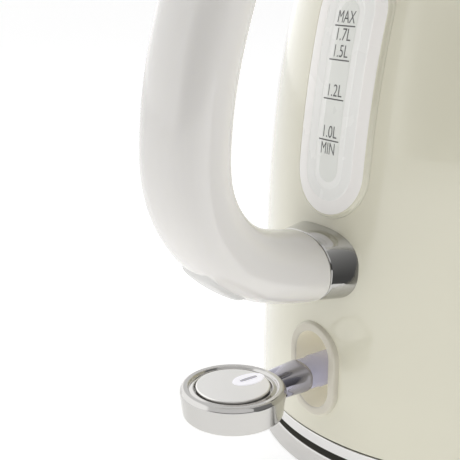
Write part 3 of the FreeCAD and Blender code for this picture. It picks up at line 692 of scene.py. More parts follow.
# Painted light: the clear bar glows a little and the lens strongly, brightening them beyond what the lamps
# give.
CLEAR_LEVER = Milky("violet_clear", (0.55, 0.54, 0.70), (0.63, 0.62, 0.77), sheen=(0.06, 0.14),
                    relief_scale=70.0, relief_strength=0.06, coat=0.6, through=0.25, painted_glow=0.08)
LENS = Milky("milky_lens", (0.90, 0.89, 0.95), (0.93, 0.92, 0.98), sheen=(0.12, 0.2), painted_glow=0.42)
LENS_BAR = Milky("lens_bar", (0.60, 0.59, 0.66), (0.70, 0.69, 0.78), sheen=(0.15, 0.22))
BLACK_PLASTIC = Moulded("black_moulding", (0.018, 0.018, 0.019), (0.028, 0.028, 0.029), sheen=(0.42, 0.56),
                        relief_scale=2200.0, relief_strength=0.12)
# Painted light: this moulding glows to lift the shade in the gap between the body ring and the base skirt.
DARK_PLASTIC_PAINTED_GLOW = Moulded("dark_moulding_painted_glow", (0.110, 0.108, 0.094), (0.130, 0.128, 0.112), sheen=(0.38, 0.50),
                       relief_scale=2200.0, relief_strength=0.12, painted_glow=0.35)
GREY_PLASTIC = Moulded("grey_moulding", (0.33, 0.33, 0.32), (0.38, 0.38, 0.37), sheen=(0.35, 0.46),
                       relief_scale=2200.0, relief_strength=0.08)
WHITE_PLASTIC = Moulded("white_moulding", (0.68, 0.67, 0.63), (0.73, 0.72, 0.68), sheen=(0.32, 0.42),
                        relief_scale=2400.0, relief_strength=0.05)
RUBBER = Moulded("black_rubber", (0.014, 0.014, 0.014), (0.024, 0.024, 0.023), sheen=(0.62, 0.78),
                 relief_scale=1600.0, relief_strength=0.2)
SILICONE = Moulded("pale_silicone", (0.60, 0.60, 0.57), (0.66, 0.66, 0.63), sheen=(0.42, 0.55),
                   relief_scale=1800.0, relief_strength=0.06, under_skin=0.2)


# ---------------------------------------------------------------------------
# Placing pieces
# ---------------------------------------------------------------------------
def place(piece: Piece, body: Body, slot: str, *nodes: str) -> Piece:
    """Let a finished piece ride on a body and stand for CAD nodes.

    Args:
        piece: The finished piece.
        body: The body it moves with.
        slot: Name of a material slot; not used.
        *nodes: The CAD nodes that it stands for.

    Returns:
        The same piece.
    """
    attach(piece, body.value)
    if nodes:
        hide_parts(*nodes)
    LOG.info("%s rides on %s, %d faces", piece.name, body.value, len(piece.data.polygons))
    return piece


def paint(piece: Piece, finish: Finish) -> Piece:
    """Give a whole piece one finish."""
    piece.data.materials.clear()
    piece.data.materials.append(finish.material())
    return piece


def dress_node(node: str, finish: Finish) -> None:
    """Give a CAD node that stays its finish.

    Args:
        node: The node's name.
        finish: Its finish.
    """
    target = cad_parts[node]
    for entry in target.material_slots:
        entry.material = finish.material()
    LOG.info("%s keeps its CAD shape, in %s", node, finish.name)


# ---------------------------------------------------------------------------
# Shapes made by rule, with Geometry Nodes
# ---------------------------------------------------------------------------
class GeometryTree(NodeTree):
    """A Geometry Nodes tree with named inputs that is baked into a plain mesh."""

    def __init__(self, name: str, floats: Sequence[str], others: dict[str, str]) -> None:
        """Start a tree; its last input is its Material.

        Args:
            name: Name of the node group.
            floats: The inputs that are plain numbers.
            others: The kind of each other input, such as Int or Object.
        """
        super().__init__(bpy.data.node_groups.new(name, "GeometryNodeTree"))
        interface = self.tree.interface
        for label, kind in {**dict.fromkeys(floats, "Float"), **others, "Material": "Material"}.items():
            interface.new_socket(label, in_out="INPUT", socket_type="NodeSocket" + kind)
        interface.new_socket("Geometry", in_out="OUTPUT", socket_type="NodeSocketGeometry")
        self.source = self.add("NodeGroupInput").outputs
        self.sink = self.add("NodeGroupOutput")

    def numbers(self, *labels: str) -> list[Number]:
        """The named inputs as numbers."""
        return [Number(self, self.source[label]) for label in labels]

    def position(self) -> list[Number]:
        """The three parts of each point's place."""
        return self.split(self.add("GeometryNodeInputPosition").outputs[0])

    def chance(self, most: Number, **inputs: object) -> Number:
        """A chance number from 0 to most, drawn with the tree's Seed."""
        draw = self.add("FunctionNodeRandomValue", {"data_type": "FLOAT"}, i3=most, Seed=self.source["Seed"],
                        **inputs)
        return Number(self, draw.outputs[1])

    def finish(self, geometry: Socket) -> None:
        """End the tree: real instances, one material.

        Args:
            geometry: What the tree has made.
        """
        real = self.add("GeometryNodeRealizeInstances", Geometry=geometry)
        dressed = self.add("GeometryNodeSetMaterial", Geometry=real.outputs[0],
                           Material=self.source["Material"])
        self.set(self.sink.inputs[0], dressed.outputs[0])

    def bake(self, name: str, values: dict[str, object]) -> Piece:
        """Make a plain mesh object with the tree.

        Args:
            name: Name of the object and its mesh.
            values: The value of each named input.

        Returns:
            The object, with its modifier removed.
        """
        piece = linked(name, bpy.data.meshes.new(name))
        change = piece.modifiers.new("shape", "NODES")
        change.node_group = self.tree
        for socket in self.tree.interface.items_tree:
            if socket.name in values:
                change[socket.identifier] = values[socket.name]
        mesh = evaluated_mesh(piece)
        piece.modifiers.clear()
        piece.data = mesh
        mesh.name = name
        smooth(piece)
        return piece


def wall_tree() -> GeometryTree:
    """A sheet of revolution that leans in steadily and rounds over towards its top.

    Returns:
        The tree. Rows of its grid run up the outside and down the inside of the sheet.
    """
    sizes = ("Foot", "Top", "Foot Radius", "Upright To", "Lean", "Dome Drop", "Dome Span", "Dome Power",
             "Sheet")
    tree = GeometryTree("leaning_wall", sizes, {"Rows": "Int", "Segments": "Int"})
    foot, top, foot_radius, upright_to, lean, drop, span, power, sheet = tree.numbers(*sizes)
    rows, segments = tree.numbers("Rows", "Segments")
    double = rows * 2.0
    grid = tree.add("GeometryNodeMeshGrid", Size_X=1.0, Size_Y=1.0, Vertices_X=double + 1.0,
                    Vertices_Y=segments + 1.0)
    along, around, _ = tree.position()
    step = tree.math("FLOORED_MODULO", tree.math("ROUND", (along + 0.5) * double), double)
    inside = step > rows - 0.5
    row = tree.add("GeometryNodeSwitch", {"input_type": "FLOAT"}, Switch=inside,
                   **{"False": step, "True": double - 1.0 - step})
    z = foot + (top - foot) * (Number(tree, row.outputs[0]) / (rows - 1.0))
    rise = tree.math("MAXIMUM", z - upright_to, 0.0)
    dome = drop * tree.math("POWER", rise / span, power)
    radius = foot_radius - lean * rise - dome - sheet * inside
    angle = (around + 0.5) * (2 * math.pi)
    spot = tree.add("CombineXYZ", X=radius * tree.math("COSINE", angle), Y=radius * tree.math("SINE", angle),
                    Z=z)
    metres = tree.add("VectorMath", {"operation": "SCALE"}, i0=spot.outputs[0], Scale=MM)
    turned = tree.add("GeometryNodeSetPosition", Geometry=grid.outputs[0], Position=metres.outputs[0])
    closed = tree.add("GeometryNodeMergeByDistance", Geometry=turned.outputs[0], Distance=SLIVER)
    tree.finish(closed.outputs[0])
    return tree


def ring_tree() -> GeometryTree:
    """Copies of one part round an upright axis, each turned by a chance angle of its own.

    Returns:
        The tree.
    """
    tree = GeometryTree("part_ring", ("Radius", "Start", "Spread"),
                        {"Part": "Object", "Count": "Int", "Seed": "Int"})
    count, radius, start, spread = tree.numbers("Count", "Radius", "Start", "Spread")
    circle = tree.add("GeometryNodeMeshCircle", Vertices=count, Radius=radius * MM)
    turned = tree.add("GeometryNodeTransform", Geometry=circle.outputs[0],
                      Rotation=tree.add("CombineXYZ", Z=start).outputs[0])
    angle = tree.add("CombineXYZ", Z=tree.chance(spread))
    part = tree.add("GeometryNodeObjectInfo", Object=tree.source["Part"])
    copies = tree.add("GeometryNodeInstanceOnPoints", Points=turned.outputs[0],
                      Instance=part.outputs["Geometry"], Rotation=angle.outputs[0])
    tree.finish(copies.outputs[0])
    return tree


def mesh_tree() -> GeometryTree:
    """A flat sheet of crossing wires inside an upright slot, each wire a little off its place.

    Returns:
        The tree.
    """
    sizes = ("Pitch", "Wire", "Half Width", "Low", "High", "Plane", "Jitter")
    tree = GeometryTree("crossed_wires", sizes, {"Seed": "Int"})
    pitch, wire, half, low, high, plane, jitter = tree.numbers(*sizes)
    height, width, middle = high - low, half * 2.0, (high + low) * 0.5
    both = tree.add("GeometryNodeJoinGeometry")
    for upright in (False, True):
        length, span = (height, width) if upright else (width, height)
        along, across = tree.math("ROUND", length / pitch) * 4.0, tree.math("ROUND", span / pitch)
        grid = tree.add("GeometryNodeMeshGrid", Size_X=length, Size_Y=span, Vertices_X=along + 1.0,
                        Vertices_Y=across + 1.0)
        x, y, _ = tree.position()
        row = tree.math("ROUND", (y / span + 0.5) * across)
        chance = tree.chance(jitter, ID=tree.add("FunctionNodeFloatToInt", i0=row).outputs[0])
        off = y + (chance - jitter * 0.5)
        phase = x / pitch + (row + (1.0 if upright else 0.0))
        wave = tree.math("COSINE", phase * math.pi) * (wire * 0.9)
        placed = tree.add("CombineXYZ", X=plane + wave, Y=off if upright else x,
                          Z=(x if upright else off) + middle)
        ends = tree.add("GeometryNodeInputMeshEdgeVertices").outputs
        rung = tree.math("ABSOLUTE", tree.split(ends[2])[1] - tree.split(ends[3])[1]) > 0.01
        wires = tree.add("GeometryNodeDeleteGeometry", {"domain": "EDGE", "mode": "EDGE_FACE"},
                         Geometry=grid.outputs[0], Selection=rung)
        moved = tree.add("GeometryNodeSetPosition", Geometry=wires.outputs[0], Position=placed.outputs[0])
        _, side, rise = tree.position()
        past = tree.math("MAXIMUM", tree.math("ABSOLUTE", rise - middle) - (height * 0.5 - half), 0.0)
        outside = tree.math("SQRT", past * past + side * side) > half - wire
        kept = tree.add("GeometryNodeDeleteGeometry", {"domain": "POINT", "mode": "ALL"},
                        Geometry=moved.outputs[0], Selection=outside)
        tree.set(both.inputs[0], tree.add("GeometryNodeMeshToCurve", i0=kept.outputs[0]).outputs[0])
    profile = tree.add("GeometryNodeCurvePrimitiveCircle", {"mode": "RADIUS"}, Resolution=6, Radius=wire)
    tube = tree.add("GeometryNodeCurveToMesh", Curve=both.outputs[0], Profile_Curve=profile.outputs[0],
                    Fill_Caps=True)
    scaled = tree.add("GeometryNodeTransform", Geometry=tube.outputs[0], Scale=(MM, MM, MM))
    tree.finish(scaled.outputs[0])
    return tree


# ---------------------------------------------------------------------------
# The kettle's sub-assemblies
# ---------------------------------------------------------------------------
@dataclass(frozen=True)
class WallCurve:
    """The painted wall's radius at each height."""

    foot_radius: float = 83.0
    upright_to: float = 35.0
    lean: float = 0.008
    dome_drop: float = 9.13
    dome_span: float = 133.5
    dome_power: float = 3.42

    def radius(self, z: Points | float) -> Points | float:
        """Radius of the wall's outside at height z."""
        rise = np.maximum(0.0, np.asarray(z, float) - self.upright_to)
        dome = self.dome_drop * (rise / self.dome_span) ** self.dome_power
        return self.foot_radius - self.lean * rise - dome

    def handle_side(self, y: Points, z: Points, depth: Points | float = 0.0) -> Points:
        """Points on the handle side of the wall, a depth below its surface."""
        x = -np.sqrt(np.maximum((self.radius(z) - depth) ** 2 - np.asarray(y) ** 2, 0))
        return np.column_stack([x, y, z])


WALL = WallCurve()


@dataclass
class PaintedBody:
    """The enamelled wall, the bright ring below it and the spout."""

    foot: float = 16.6
    top: float = 215.95
    sheet: float = 0.9
    rows: int = 96
    segments: int = 288
    gauge_rim: Triple = (17.05, 98.45, 183.85)
    gauge_y: float = -2.5
    switch_hole: Triple = (10.9, 24.9, 58.1)
    spout_stations: tuple[tuple[float, ...], ...] = (
        (52, 143, 14, 25.0, 35.0), (76, 160, 26, 22.0, 29.0), (94, 181, 42, 17.0, 20.5),
        (107, 203, 62, 13.5, 15.5))
    spout_power: float = 2.15
    spout_wall: float = 1.3
    station_gap: float = 20.0
    lip_way: float = 62.0
    lip_height: float = 0.65
    cutter_reach: Pair = (-96.0, -50.0)
    core_span: Pair = (60.0, 214.0)
    ring_profile: tuple[Triple, ...] = (
        (82.7, 11.3, 0.5), (83.0, 15.85, 0.3), (82.0, 16.0, 0.1), (82.0, 16.28, 0.0), (80.4, 16.28, 0.0),
        (80.4, 11.3, 0.3))

    def slot_cutter(self, slot: Triple, middle: float = 0.0) -> Piece:
        """A prism along X that cuts a slot through the handle side of the wall.

        Args:
            slot: Half width, lowest and highest point of the slot.
            middle: Y of its middle line.

        Returns:
            The prism.
        """
        outline = slot_outline(*slot) + np.array([middle, 0.0])
        rings = [np.column_stack([np.full(len(outline), x), outline]) for x in self.cutter_reach]
        return from_rings("cutter", rings)

    def spout_rings(self, grow: float, count: int = 40) -> list[Points]:
        """Rings along the spout, from inside the wall to its mouth.

        Args:
            grow: Distance outside its outer skin; its bore lies inside.
            count: Number of rings.

        Returns:
            The rings in order.
        """
        stations = np.array(self.spout_stations)
        at = np.linspace(0, len(stations) - 1, count) * self.station_gap
        index = np.arange(len(stations)) * self.station_gap
        columns = []
        for column in stations.T:
            places, _ = natural_spline(np.column_stack([index, column]), 400)
            columns.append(np.interp(at, places[:, 0], places[:, 1]))
        rings = []
        for x, z, tilt, across, up in zip(*columns):
            a = math.radians(tilt)
            upward = np.array([-math.sin(a), 0, math.cos(a)])
            rings.append(oval_ring((x, 0, z), Y_WAY, upward, across + grow, up + grow, self.spout_power))
        return rings

    def build(self) -> None:
        """Make and place the pieces."""
        self.build_wall()
        self.build_ring()
        self.build_spout()

    def build_wall(self) -> None:
        """The wall, enamelled outside and bare steel inside, with its openings."""
        wall = wall_tree().bake("body_wall", {
            "Foot": self.foot, "Top": self.top, "Foot Radius": WALL.foot_radius,
            "Upright To": WALL.upright_to, "Lean": WALL.lean, "Dome Drop": WALL.dome_drop,
            "Dome Span": WALL.dome_span,
            "Dome Power": WALL.dome_power, "Sheet": self.sheet, "Rows": self.rows, "Segments": self.segments,
            "Material": ENAMEL.material()})
        outward(wall)
        cut_away(wall, [self.slot_cutter(self.gauge_rim, self.gauge_y), self.slot_cutter(self.switch_hole),
                        from_rings("cutter", self.spout_rings(-self.spout_wall))])
        paint(wall, ENAMEL)
        wall.data.materials.append(INNER_STEEL.material())
        for face in wall.data.polygons:
            middle, normal = face.center, face.normal
            face.material_index = int(middle.x * normal.x + middle.y * normal.y < 0)
        place(wall, Body.KETTLE, "cream_paint", "body_shell")

    def build_ring(self) -> None:
        """The bright ring under the painted wall."""
        ring = lathe("body_ring_bright", rounded(self.ring_profile), 256)
        place(paint(ring, CHROME), Body.KETTLE, "bright_metal", "body_ring")

    def build_spout(self) -> None:
        """The spout, with a rolled lip at its mouth."""
        outer, bore = self.spout_rings(0.0), self.spout_rings(-self.spout_wall)
        way, height = math.radians(self.lip_way), self.lip_height
        way = np.array([math.cos(way), 0, math.sin(way)])
        lip = []
        for share in (k / 6 for k in range(1, 6)):
            edge = outer[-1] * (1 - share) + bore[-1] * share
            lip.append(edge + way * (-height + height * math.sin(math.pi * share)))
        outer[-1], bore[-1] = outer[-1] - way * height, bore[-1] - way * height
        spout = from_rings("spout_horn", outer + lip + bore[::-1], wrap=True)
        low, high = self.core_span
        skin = [(float(WALL.radius(z)) - 0.05, float(z)) for z in np.linspace(low, high, 60)]
        cut_away(spout, [lathe("cutter", [(0.0, low), *skin, (0.0, high)], 192)])
        place(paint(spout, ENAMEL), Body.KETTLE, "cream_paint", "spout")


@dataclass
class WaterGauge:
    """The gauge on the wall: raised bevelled rim, frosted pane and printed level marks."""

    middle: float = -2.5
    rim: Triple = (17.0, 98.5, 183.8)
    face: float = 1.65
    rim_profile: tuple[Pair, ...] = (
        (0.0, 1.15), (0.0, 0.05), (0.03, -0.10), (0.1, -0.16), (0.2, -0.18), (0.5, -0.20), (0.58, -0.24),
        (0.66, -0.34), (0.82, -0.60), (0.98, -0.86), (1.06, -0.97), (1.18, -1.05), (1.35, -1.09),
        (1.54, -1.08), (1.62, -1.03), (1.65, -0.95), (1.65, 1.15))
    pane_front: float = -1.02
    pane_back: float = 2.3
    pane_steps: Triple = (10.6, 6.6, 4.3)
    step_depths: Triple = (0.2, 0.2, -0.1)
    arc_steps: int = 32
    side_steps: int = 40
    print_middle: float = 0.9
    figure_height: float = 4.0
    capital_share: float = 0.69
    letter_width: float = 0.665
    digit_width: float = 0.74
    film: float = 0.012
    stroke_change: float = -0.045
    line_half: float = 4.67
    line_thick: float = 0.40
    marks: tuple[tuple[float, str, str], ...] = (
        (162.92, "MAX", "1.7L"), (151.89, "1.5L", ""), (139.06, "1.2L", ""), (125.34, "1.0L", "MIN"))

    def build(self) -> None:
        """Make and place the pieces."""
        self.build_rim()
        self.build_pane()
        self.build_marks()

    def on_wall(self, y: Points, z: Points, depth: Points | float) -> Points:
        """Points at the gauge, a distance below the wall's surface."""
        return WALL.handle_side(np.asarray(y) + self.middle, z, depth)

    def inset_ring(self, inset: float, depth: float) -> Points:
        """Points round the gauge, in from its rim and below the wall's surface."""
        half, low, high = self.rim
        outline = slot_outline(half - inset, low + inset, high - inset, self.arc_steps, self.side_steps)
        return self.on_wall(outline[:, 0], outline[:, 1], depth)

    def build_rim(self) -> None:
        """The painted bevel that rises from the wall to the pane, with a lip at its foot."""
        rings = [self.inset_ring(inset, depth) for inset, depth in self.rim_profile]
        place(paint(from_rings("gauge_bevel", rings, wrap=True), ENAMEL), Body.KETTLE, "cream_paint",
              "gauge_rim")

    def build_pane(self) -> None:
        """The frosted pane, whose face steps in towards the printed panel."""
        half, edge, depth = self.rim[0], self.face - 0.03, self.pane_front
        profile = [(edge, self.pane_back), (edge, depth + 0.4), (edge + 0.05, depth + 0.12),
                   (edge + 0.15, depth + 0.03), (edge + 0.35, depth)]
        for step, drop in zip(self.pane_steps, self.step_depths):
            inset = half - step
            profile += [(inset - 0.5, depth), (inset - 0.2, depth + 0.1 * drop), (inset, depth + 0.5 * drop),
                        (inset + 0.2, depth + 0.9 * drop), (inset + 0.5, depth + drop)]
            depth += drop
        profile.append((half - 3.0, depth))
        front = [self.inset_ring(inset, deep) for inset, deep in profile]
        back = [self.inset_ring(inset, self.pane_back) for inset in (half - 3.0, half - 8.0)]
        rings = back + front
        count = len(rings[0])
        faces = grid_faces(len(rings), count, False, True)
        for first in (0, (len(rings) - 1) * count):
            faces += [[first + i for i in rung] for rung in self.ladder()]
        pane = new_object("gauge_glass", np.vstack(rings), faces)
        paint(pane, PANE)
        for finish in (PANE_STEP, PANE_RING, PANE_PANEL):
            pane.data.materials.append(finish.material())
        for face in pane.data.polygons:
            spread = self.spread_of(face.center / MM)
            face.material_index = sum(spread < step for step in self.pane_steps)
        place(pane, Body.KETTLE, "gauge_clear", "gauge_pane")

    def spread_of(self, point: Vector) -> float:
        """How far a point is from the gauge's middle line."""
        half, low, high = self.rim
        z = min(max(point.z, low + half), high - half)
        return math.hypot(point.y - self.middle, point.z - z)

    def ladder(self) -> list[list[int]]:
        """Faces that close a gauge ring, rung by rung from its bottom to its top.

        Returns:
            Corner indices of each face, counted from the ring's first point.
        """
        arc, side = self.arc_steps, self.side_steps
        total = 2 * (arc + side)
        pairs = [(k, arc - k) for k in range(arc // 2, -1, -1)]
        pairs += [((total - j) % total, arc + j) for j in range(1, side + 1)]
        pairs += [(arc + side + arc - k, arc + side + k) for k in range(1, arc // 2 + 1)]
        rungs = []
        for (a, b), (c, d) in zip(pairs, pairs[1:]):
            rungs.append([i for n, i in enumerate((a, b, d, c)) if i not in (a, b, d, c)[:n]])
        return rungs

    def print_depth(self) -> float:
        """Depth of the printed panel's face."""
        return self.pane_front + sum(self.step_depths)

    def figure(self, text: str, low: float) -> Piece:
        """One figure as a thin film of print that follows the pane.

        Args:
            text: What it says.
            low: Height of its foot.

        Returns:
            The film.
        """
        curve = bpy.data.curves.new("figure", "FONT")
        curve.body, curve.align_x, curve.size = text, "CENTER", self.figure_height / self.capital_share
        curve.extrude, curve.offset = self.film, self.stroke_change
        holder = linked("figure", curve)
        mesh = evaluated_mesh(holder)
        bpy.data.objects.remove(holder)
        flat = np.array([v.co for v in mesh.vertices], float).reshape(-1, 3)
        narrow = self.letter_width if text.isalpha() else self.digit_width
        y, z = self.print_middle - narrow * flat[:, 0], low + flat[:, 1]
        film = self.on_wall(y, z, self.print_depth() - 0.03 - flat[:, 2])
        faces = [list(p.vertices) for p in mesh.polygons]
        bpy.data.meshes.remove(mesh)
        return new_object("figure", film, faces)

    def line(self, height: float) -> Piece:
        """One level line as a thin curved strip of print.

        Args:
            height: Height of its middle.

        Returns:
            The strip.
        """
        across, out = np.array([(-0.5, 0.01), (0.5, 0.01), (0.5, 0.05), (-0.5, 0.05)]).T
        z, depth = height + self.line_thick * across, self.print_depth() - out
        return from_rings("line", [self.on_wall(np.full(4, y + self.print_middle), z, depth)
                                   for y in np.linspace(-self.line_half, self.line_half, 25)])

    def build_marks(self) -> None:
        """All figures and lines as one printed piece."""
        parts = []
        for height, above, below in self.marks:
            parts += [self.line(height), self.figure(above, height + 0.95)]
            if below:
                parts.append(self.figure(below, height - 0.7 - self.figure_height))
        place(paint(joined("gauge_print", parts), PRINT), Body.KETTLE, "dark_plastic")


@dataclass
class Handle:
    """The hollow grip, the cover over its screw and the two collars."""

    half_width: float = 16.3
    half_depth: float = 12.15
    power: float = 2.2
    line: tuple[Pair, ...] = (
        (-84, 81.9), (-91.2, 82.7), (-106, 85.4), (-120.3, 91.9), (-131, 102.5), (-136.8, 115.5),
        (-137.6, 133), (-135, 152), (-130.2, 170), (-123.4, 188), (-114.5, 201), (-101, 207.6),
        (-86.5, 205.8), (-72.8, 200.5), (-66, 197.8))
    low_end: float = -91.2
    low_half_below: float = 120.0
    high_half_above: float = 150.0
    wall: float = 2.4
    stations: int = 220
    around: int = 96
    top_foot: Triple = (-64.0, 0.0, 197.0)
    top_out: Triple = (-0.93, 0.0, 0.3676)
    collar_length: float = 9.0
    joint_gap: float = 0.4
    end_pulls: Triple = (0.97, 0.985, 0.995)
    low_collar_end: Triple = (-90.8, 0.0, 82.8)
    foot_half_width: float = 18.2
    foot_half_depth: float = 12.75
    foot_power: float = 2.5
    cover_at: Triple = (-121.6, 0.0, 92.6)
    cover_reach: float = 10.5
    cover_half: float = 8.0
    cover_root: float = 0.6

    def __post_init__(self) -> None:
        """Work out the middle line once."""
        points = np.array([(x, 0.0, z) for x, z in self.line])
        self.places, self.ways = natural_spline(points, self.stations)

    def section(self, index: int, grow: float) -> Points:
        """The grip's outline at one place of its middle line, grown by a margin."""
        return oval_ring(self.places[index], Y_WAY, np.cross(Y_WAY, self.ways[index]),
                         self.half_width + grow, self.half_depth + grow, self.power, self.around)

    def clamp(self, ring: Points) -> Points:
        """Bring a ring's points back to the flat faces where the grip meets its collars.

        Args:
            ring: The ring's points.

        Returns:
            A changed copy.
        """
        ring = ring.copy()
        lower = ring[:, 2] < self.low_half_below
        ring[lower, 0] = np.minimum(ring[lower, 0], self.low_end)
        foot, out = np.array(self.top_foot), np.array(self.top_out)
        past = (ring - foot) @ out - (self.collar_length + self.joint_gap)
        upper = (~lower) & (past < 0)
        ring[upper] -= np.outer(past[upper], out)
        return ring

    def grip_rings(self, grow: float) -> list[Points]:
        """Rings along the grip between its two flat ends.

        Args:
            grow: Distance outside its outer skin.

        Returns:
            The rings, from the lower end to the upper.
        """
        rings = []
        foot, out = np.array(self.top_foot), np.array(self.top_out)
        reach = self.collar_length + self.joint_gap
        for i in range(self.stations):
            ring = self.section(i, grow)
            height = ring[:, 2].mean()
            below = height < self.low_half_below and ring[:, 0].min() > self.low_end
            above = height > self.high_half_above and ((ring - foot) @ out).max() < reach
            if not below and not above:
                rings.append(self.clamp(ring))
        return rings

    def build(self) -> None:
        """Make and place the pieces."""
        self.build_grip()
        self.build_cover()
        self.build_lower_collar()
        self.build_upper_collar()

    def build_grip(self) -> None:
        """The hollow grip, which stands for both of its shells."""
        outer, inner = self.grip_rings(0.0), self.grip_rings(-self.wall)
        count = min(len(outer), len(inner))
        shell_rings = self.end_rounding(outer) + inner[:count][::-1]
        grip = from_rings("handle_grip", shell_rings, wrap=True)
        place(paint(grip, IVORY), Body.KETTLE, "ivory_plastic", "handle_outer", "handle_inner")

    def end_rounding(self, rings: list[Points]) -> list[Points]:
        """Round the edges at both flat ends.

        Args:
            rings: Rings from one end to the other.

        Returns:
            The same rings, with smaller ones before the first and after the last.
        """
        first, last = rings[0], rings[-1]
        middle_first, middle_last = first.mean(axis=0), last.mean(axis=0)
        head = [middle_first + (first - middle_first) * pull for pull in self.end_pulls]
        tail = [middle_last + (last - middle_last) * pull for pull in self.end_pulls[::-1]]
        return head + rings + tail

    def build_cover(self) -> None:
        """The small pad over the screw on the grip's lower bend."""
        index = int(np.argmin(np.linalg.norm(self.places - np.array(self.cover_at), axis=1)))
        outward = np.cross(self.ways, Y_WAY)
        skin = self.places + outward * (self.half_depth * np.sign(-outward[index, 2]))
        walked = np.concatenate([[0], np.cumsum(np.linalg.norm(np.diff(skin, axis=0), axis=1))])
        span = np.flatnonzero(np.abs(walked - walked[index]) <= self.cover_reach)
        columns = np.linspace(-self.cover_half, self.cover_half, 25)
        top, bottom = [], []
        for along, i in zip(np.linspace(-1.0, 1.0, len(span)), span):
            out = -np.cross(Y_WAY, self.ways[i])
            out = out if out[2] < 0 else -out
            for y in columns:
                round_off = (abs(along) ** 5 + abs(y / self.cover_half) ** 5) ** 0.2
                lift = math.sqrt(1 - min(1.0, round_off) ** 10)
                lower = 1 - (abs(y) / self.half_width) ** self.power
                rise = self.half_depth * lower ** (1 / self.power)
                base = self.places[i] + np.array([0, y, 0])
                top.append(base + out * (rise + lift))
                bottom.append(base + out * (rise - self.cover_root))
        rows, cols = len(span), len(columns)
        faces = grid_faces(rows, cols, False, False)
        offset = rows * cols
        faces += [[a + offset for a in f] for f in faces]
        border = [r * cols for r in range(rows)] + [(rows - 1) * cols + c for c in range(1, cols)]
        border += [r * cols + cols - 1 for r in range(rows - 2, -1, -1)] + list(range(cols - 2, 0, -1))
        for a, b in zip(border, border[1:] + border[:1]):
            faces.append([a, b, b + offset, a + offset])
        pad = new_object("handle_cover_pad", np.array(top + bottom), faces)
        place(paint(pad, IVORY_COVER), Body.KETTLE, "ivory_plastic", "handle_screw_cover")

    def collar_rings(self, end: Points, outward: Points, upward: Points,
                     foot_of: Callable[[Points], Points]) -> list[Points]:
        """Rings from a collar's flat end to the painted wall.

        Args:
            end: Middle of the collar's flat end.
            outward: Unit vector away from the wall.
            upward: Unit vector up the collar's face.
            foot_of: Gives the point on the wall behind a point.

        Returns:
            Rings from the middle of the flat end, over its edge, to the wall.
        """
        wide, deep, power = self.half_width, self.half_depth, self.power
        more_wide, more_deep = self.foot_half_width - wide, self.foot_half_depth - deep
        rings = []
        for pull, back in ((0.55, 0.0), (0.80, 0.0), (0.955, 0.0), (0.975, 0.02), (0.99, 0.12), (1.0, 0.35)):
            ring = oval_ring(end, Y_WAY, upward, wide * pull, deep * pull, power, self.around)
            rings.append(ring - outward * back)
        foot = oval_ring(end, Y_WAY, upward, self.foot_half_width, self.foot_half_depth, self.foot_power,
                         self.around)
        depth_start = (rings[-1] - end) @ outward
        depth_end = (np.array([foot_of(p) for p in foot]) - end) @ outward
        for share in np.linspace(0.06, 1.0, 16):
            flared = oval_ring(end, Y_WAY, upward, wide + more_wide * share, deep + more_deep * share,
                               power + (self.foot_power - power) * share, self.around)
            depth = depth_start + (depth_end - depth_start) * share
            rings.append(flared + np.outer(depth - (flared - end) @ outward, outward))
        inner = rings[-1]
        straight = abs(outward[0]) > 0.99
        rings.append(end + (inner - end) * np.array([1.0, 0.8, 0.8]) if straight
                     else inner * 0.86 + inner.mean(axis=0) * 0.14)
        return rings

    def build_lower_collar(self) -> None:
        """The bright collar between the grip's lower end and the wall."""
        outward, end = np.array([-1.0, 0, 0]), np.array(self.low_collar_end)

        def foot_of(point: Points) -> Points:
            """The point of the wall behind a point of the lower collar's end."""
            return WALL.handle_side(np.array([point[1]]), np.array([point[2] - 0.8]), -0.02)[0]

        collar = from_rings("lower_collar_bright", self.collar_rings(end, outward, np.array(Z_WAY), foot_of))
        # The collar's chrome is darkened as painted reflection.
        place(paint(collar, COLLAR_CHROME_PAINTED_DARK), Body.KETTLE, "bright_metal", "lower_collar")

    def build_upper_collar(self) -> None:
        """The bright collar between the grip's upper end and the wall."""
        outward = np.array(self.top_out) / np.linalg.norm(self.top_out)
        upward = np.cross(outward, Y_WAY)
        upward = upward if upward[2] > 0 else -upward
        end = np.array(self.top_foot) + outward * self.collar_length

        def foot_of(point: Points) -> Points:
            """The point of the wall behind a point of the upper collar's end.

            Args:
                point: The point.

            Returns:
                The point on the wall, found by halving.
            """
            low, high = 0.0, 24.0
            for _ in range(30):
                middle = 0.5 * (low + high)
                spot = point - outward * middle
                inside = math.hypot(spot[0], spot[1]) < float(WALL.radius(spot[2])) + 0.02
                low, high = (low, middle) if inside else (middle, high)
            return point - outward * low

        collar = from_rings("upper_collar_bright", self.collar_rings(end, outward, upward, foot_of))
        # The collar's chrome is darkened as painted reflection.
        place(paint(collar, COLLAR_CHROME_PAINTED_DARK), Body.KETTLE, "bright_metal", "upper_collar")


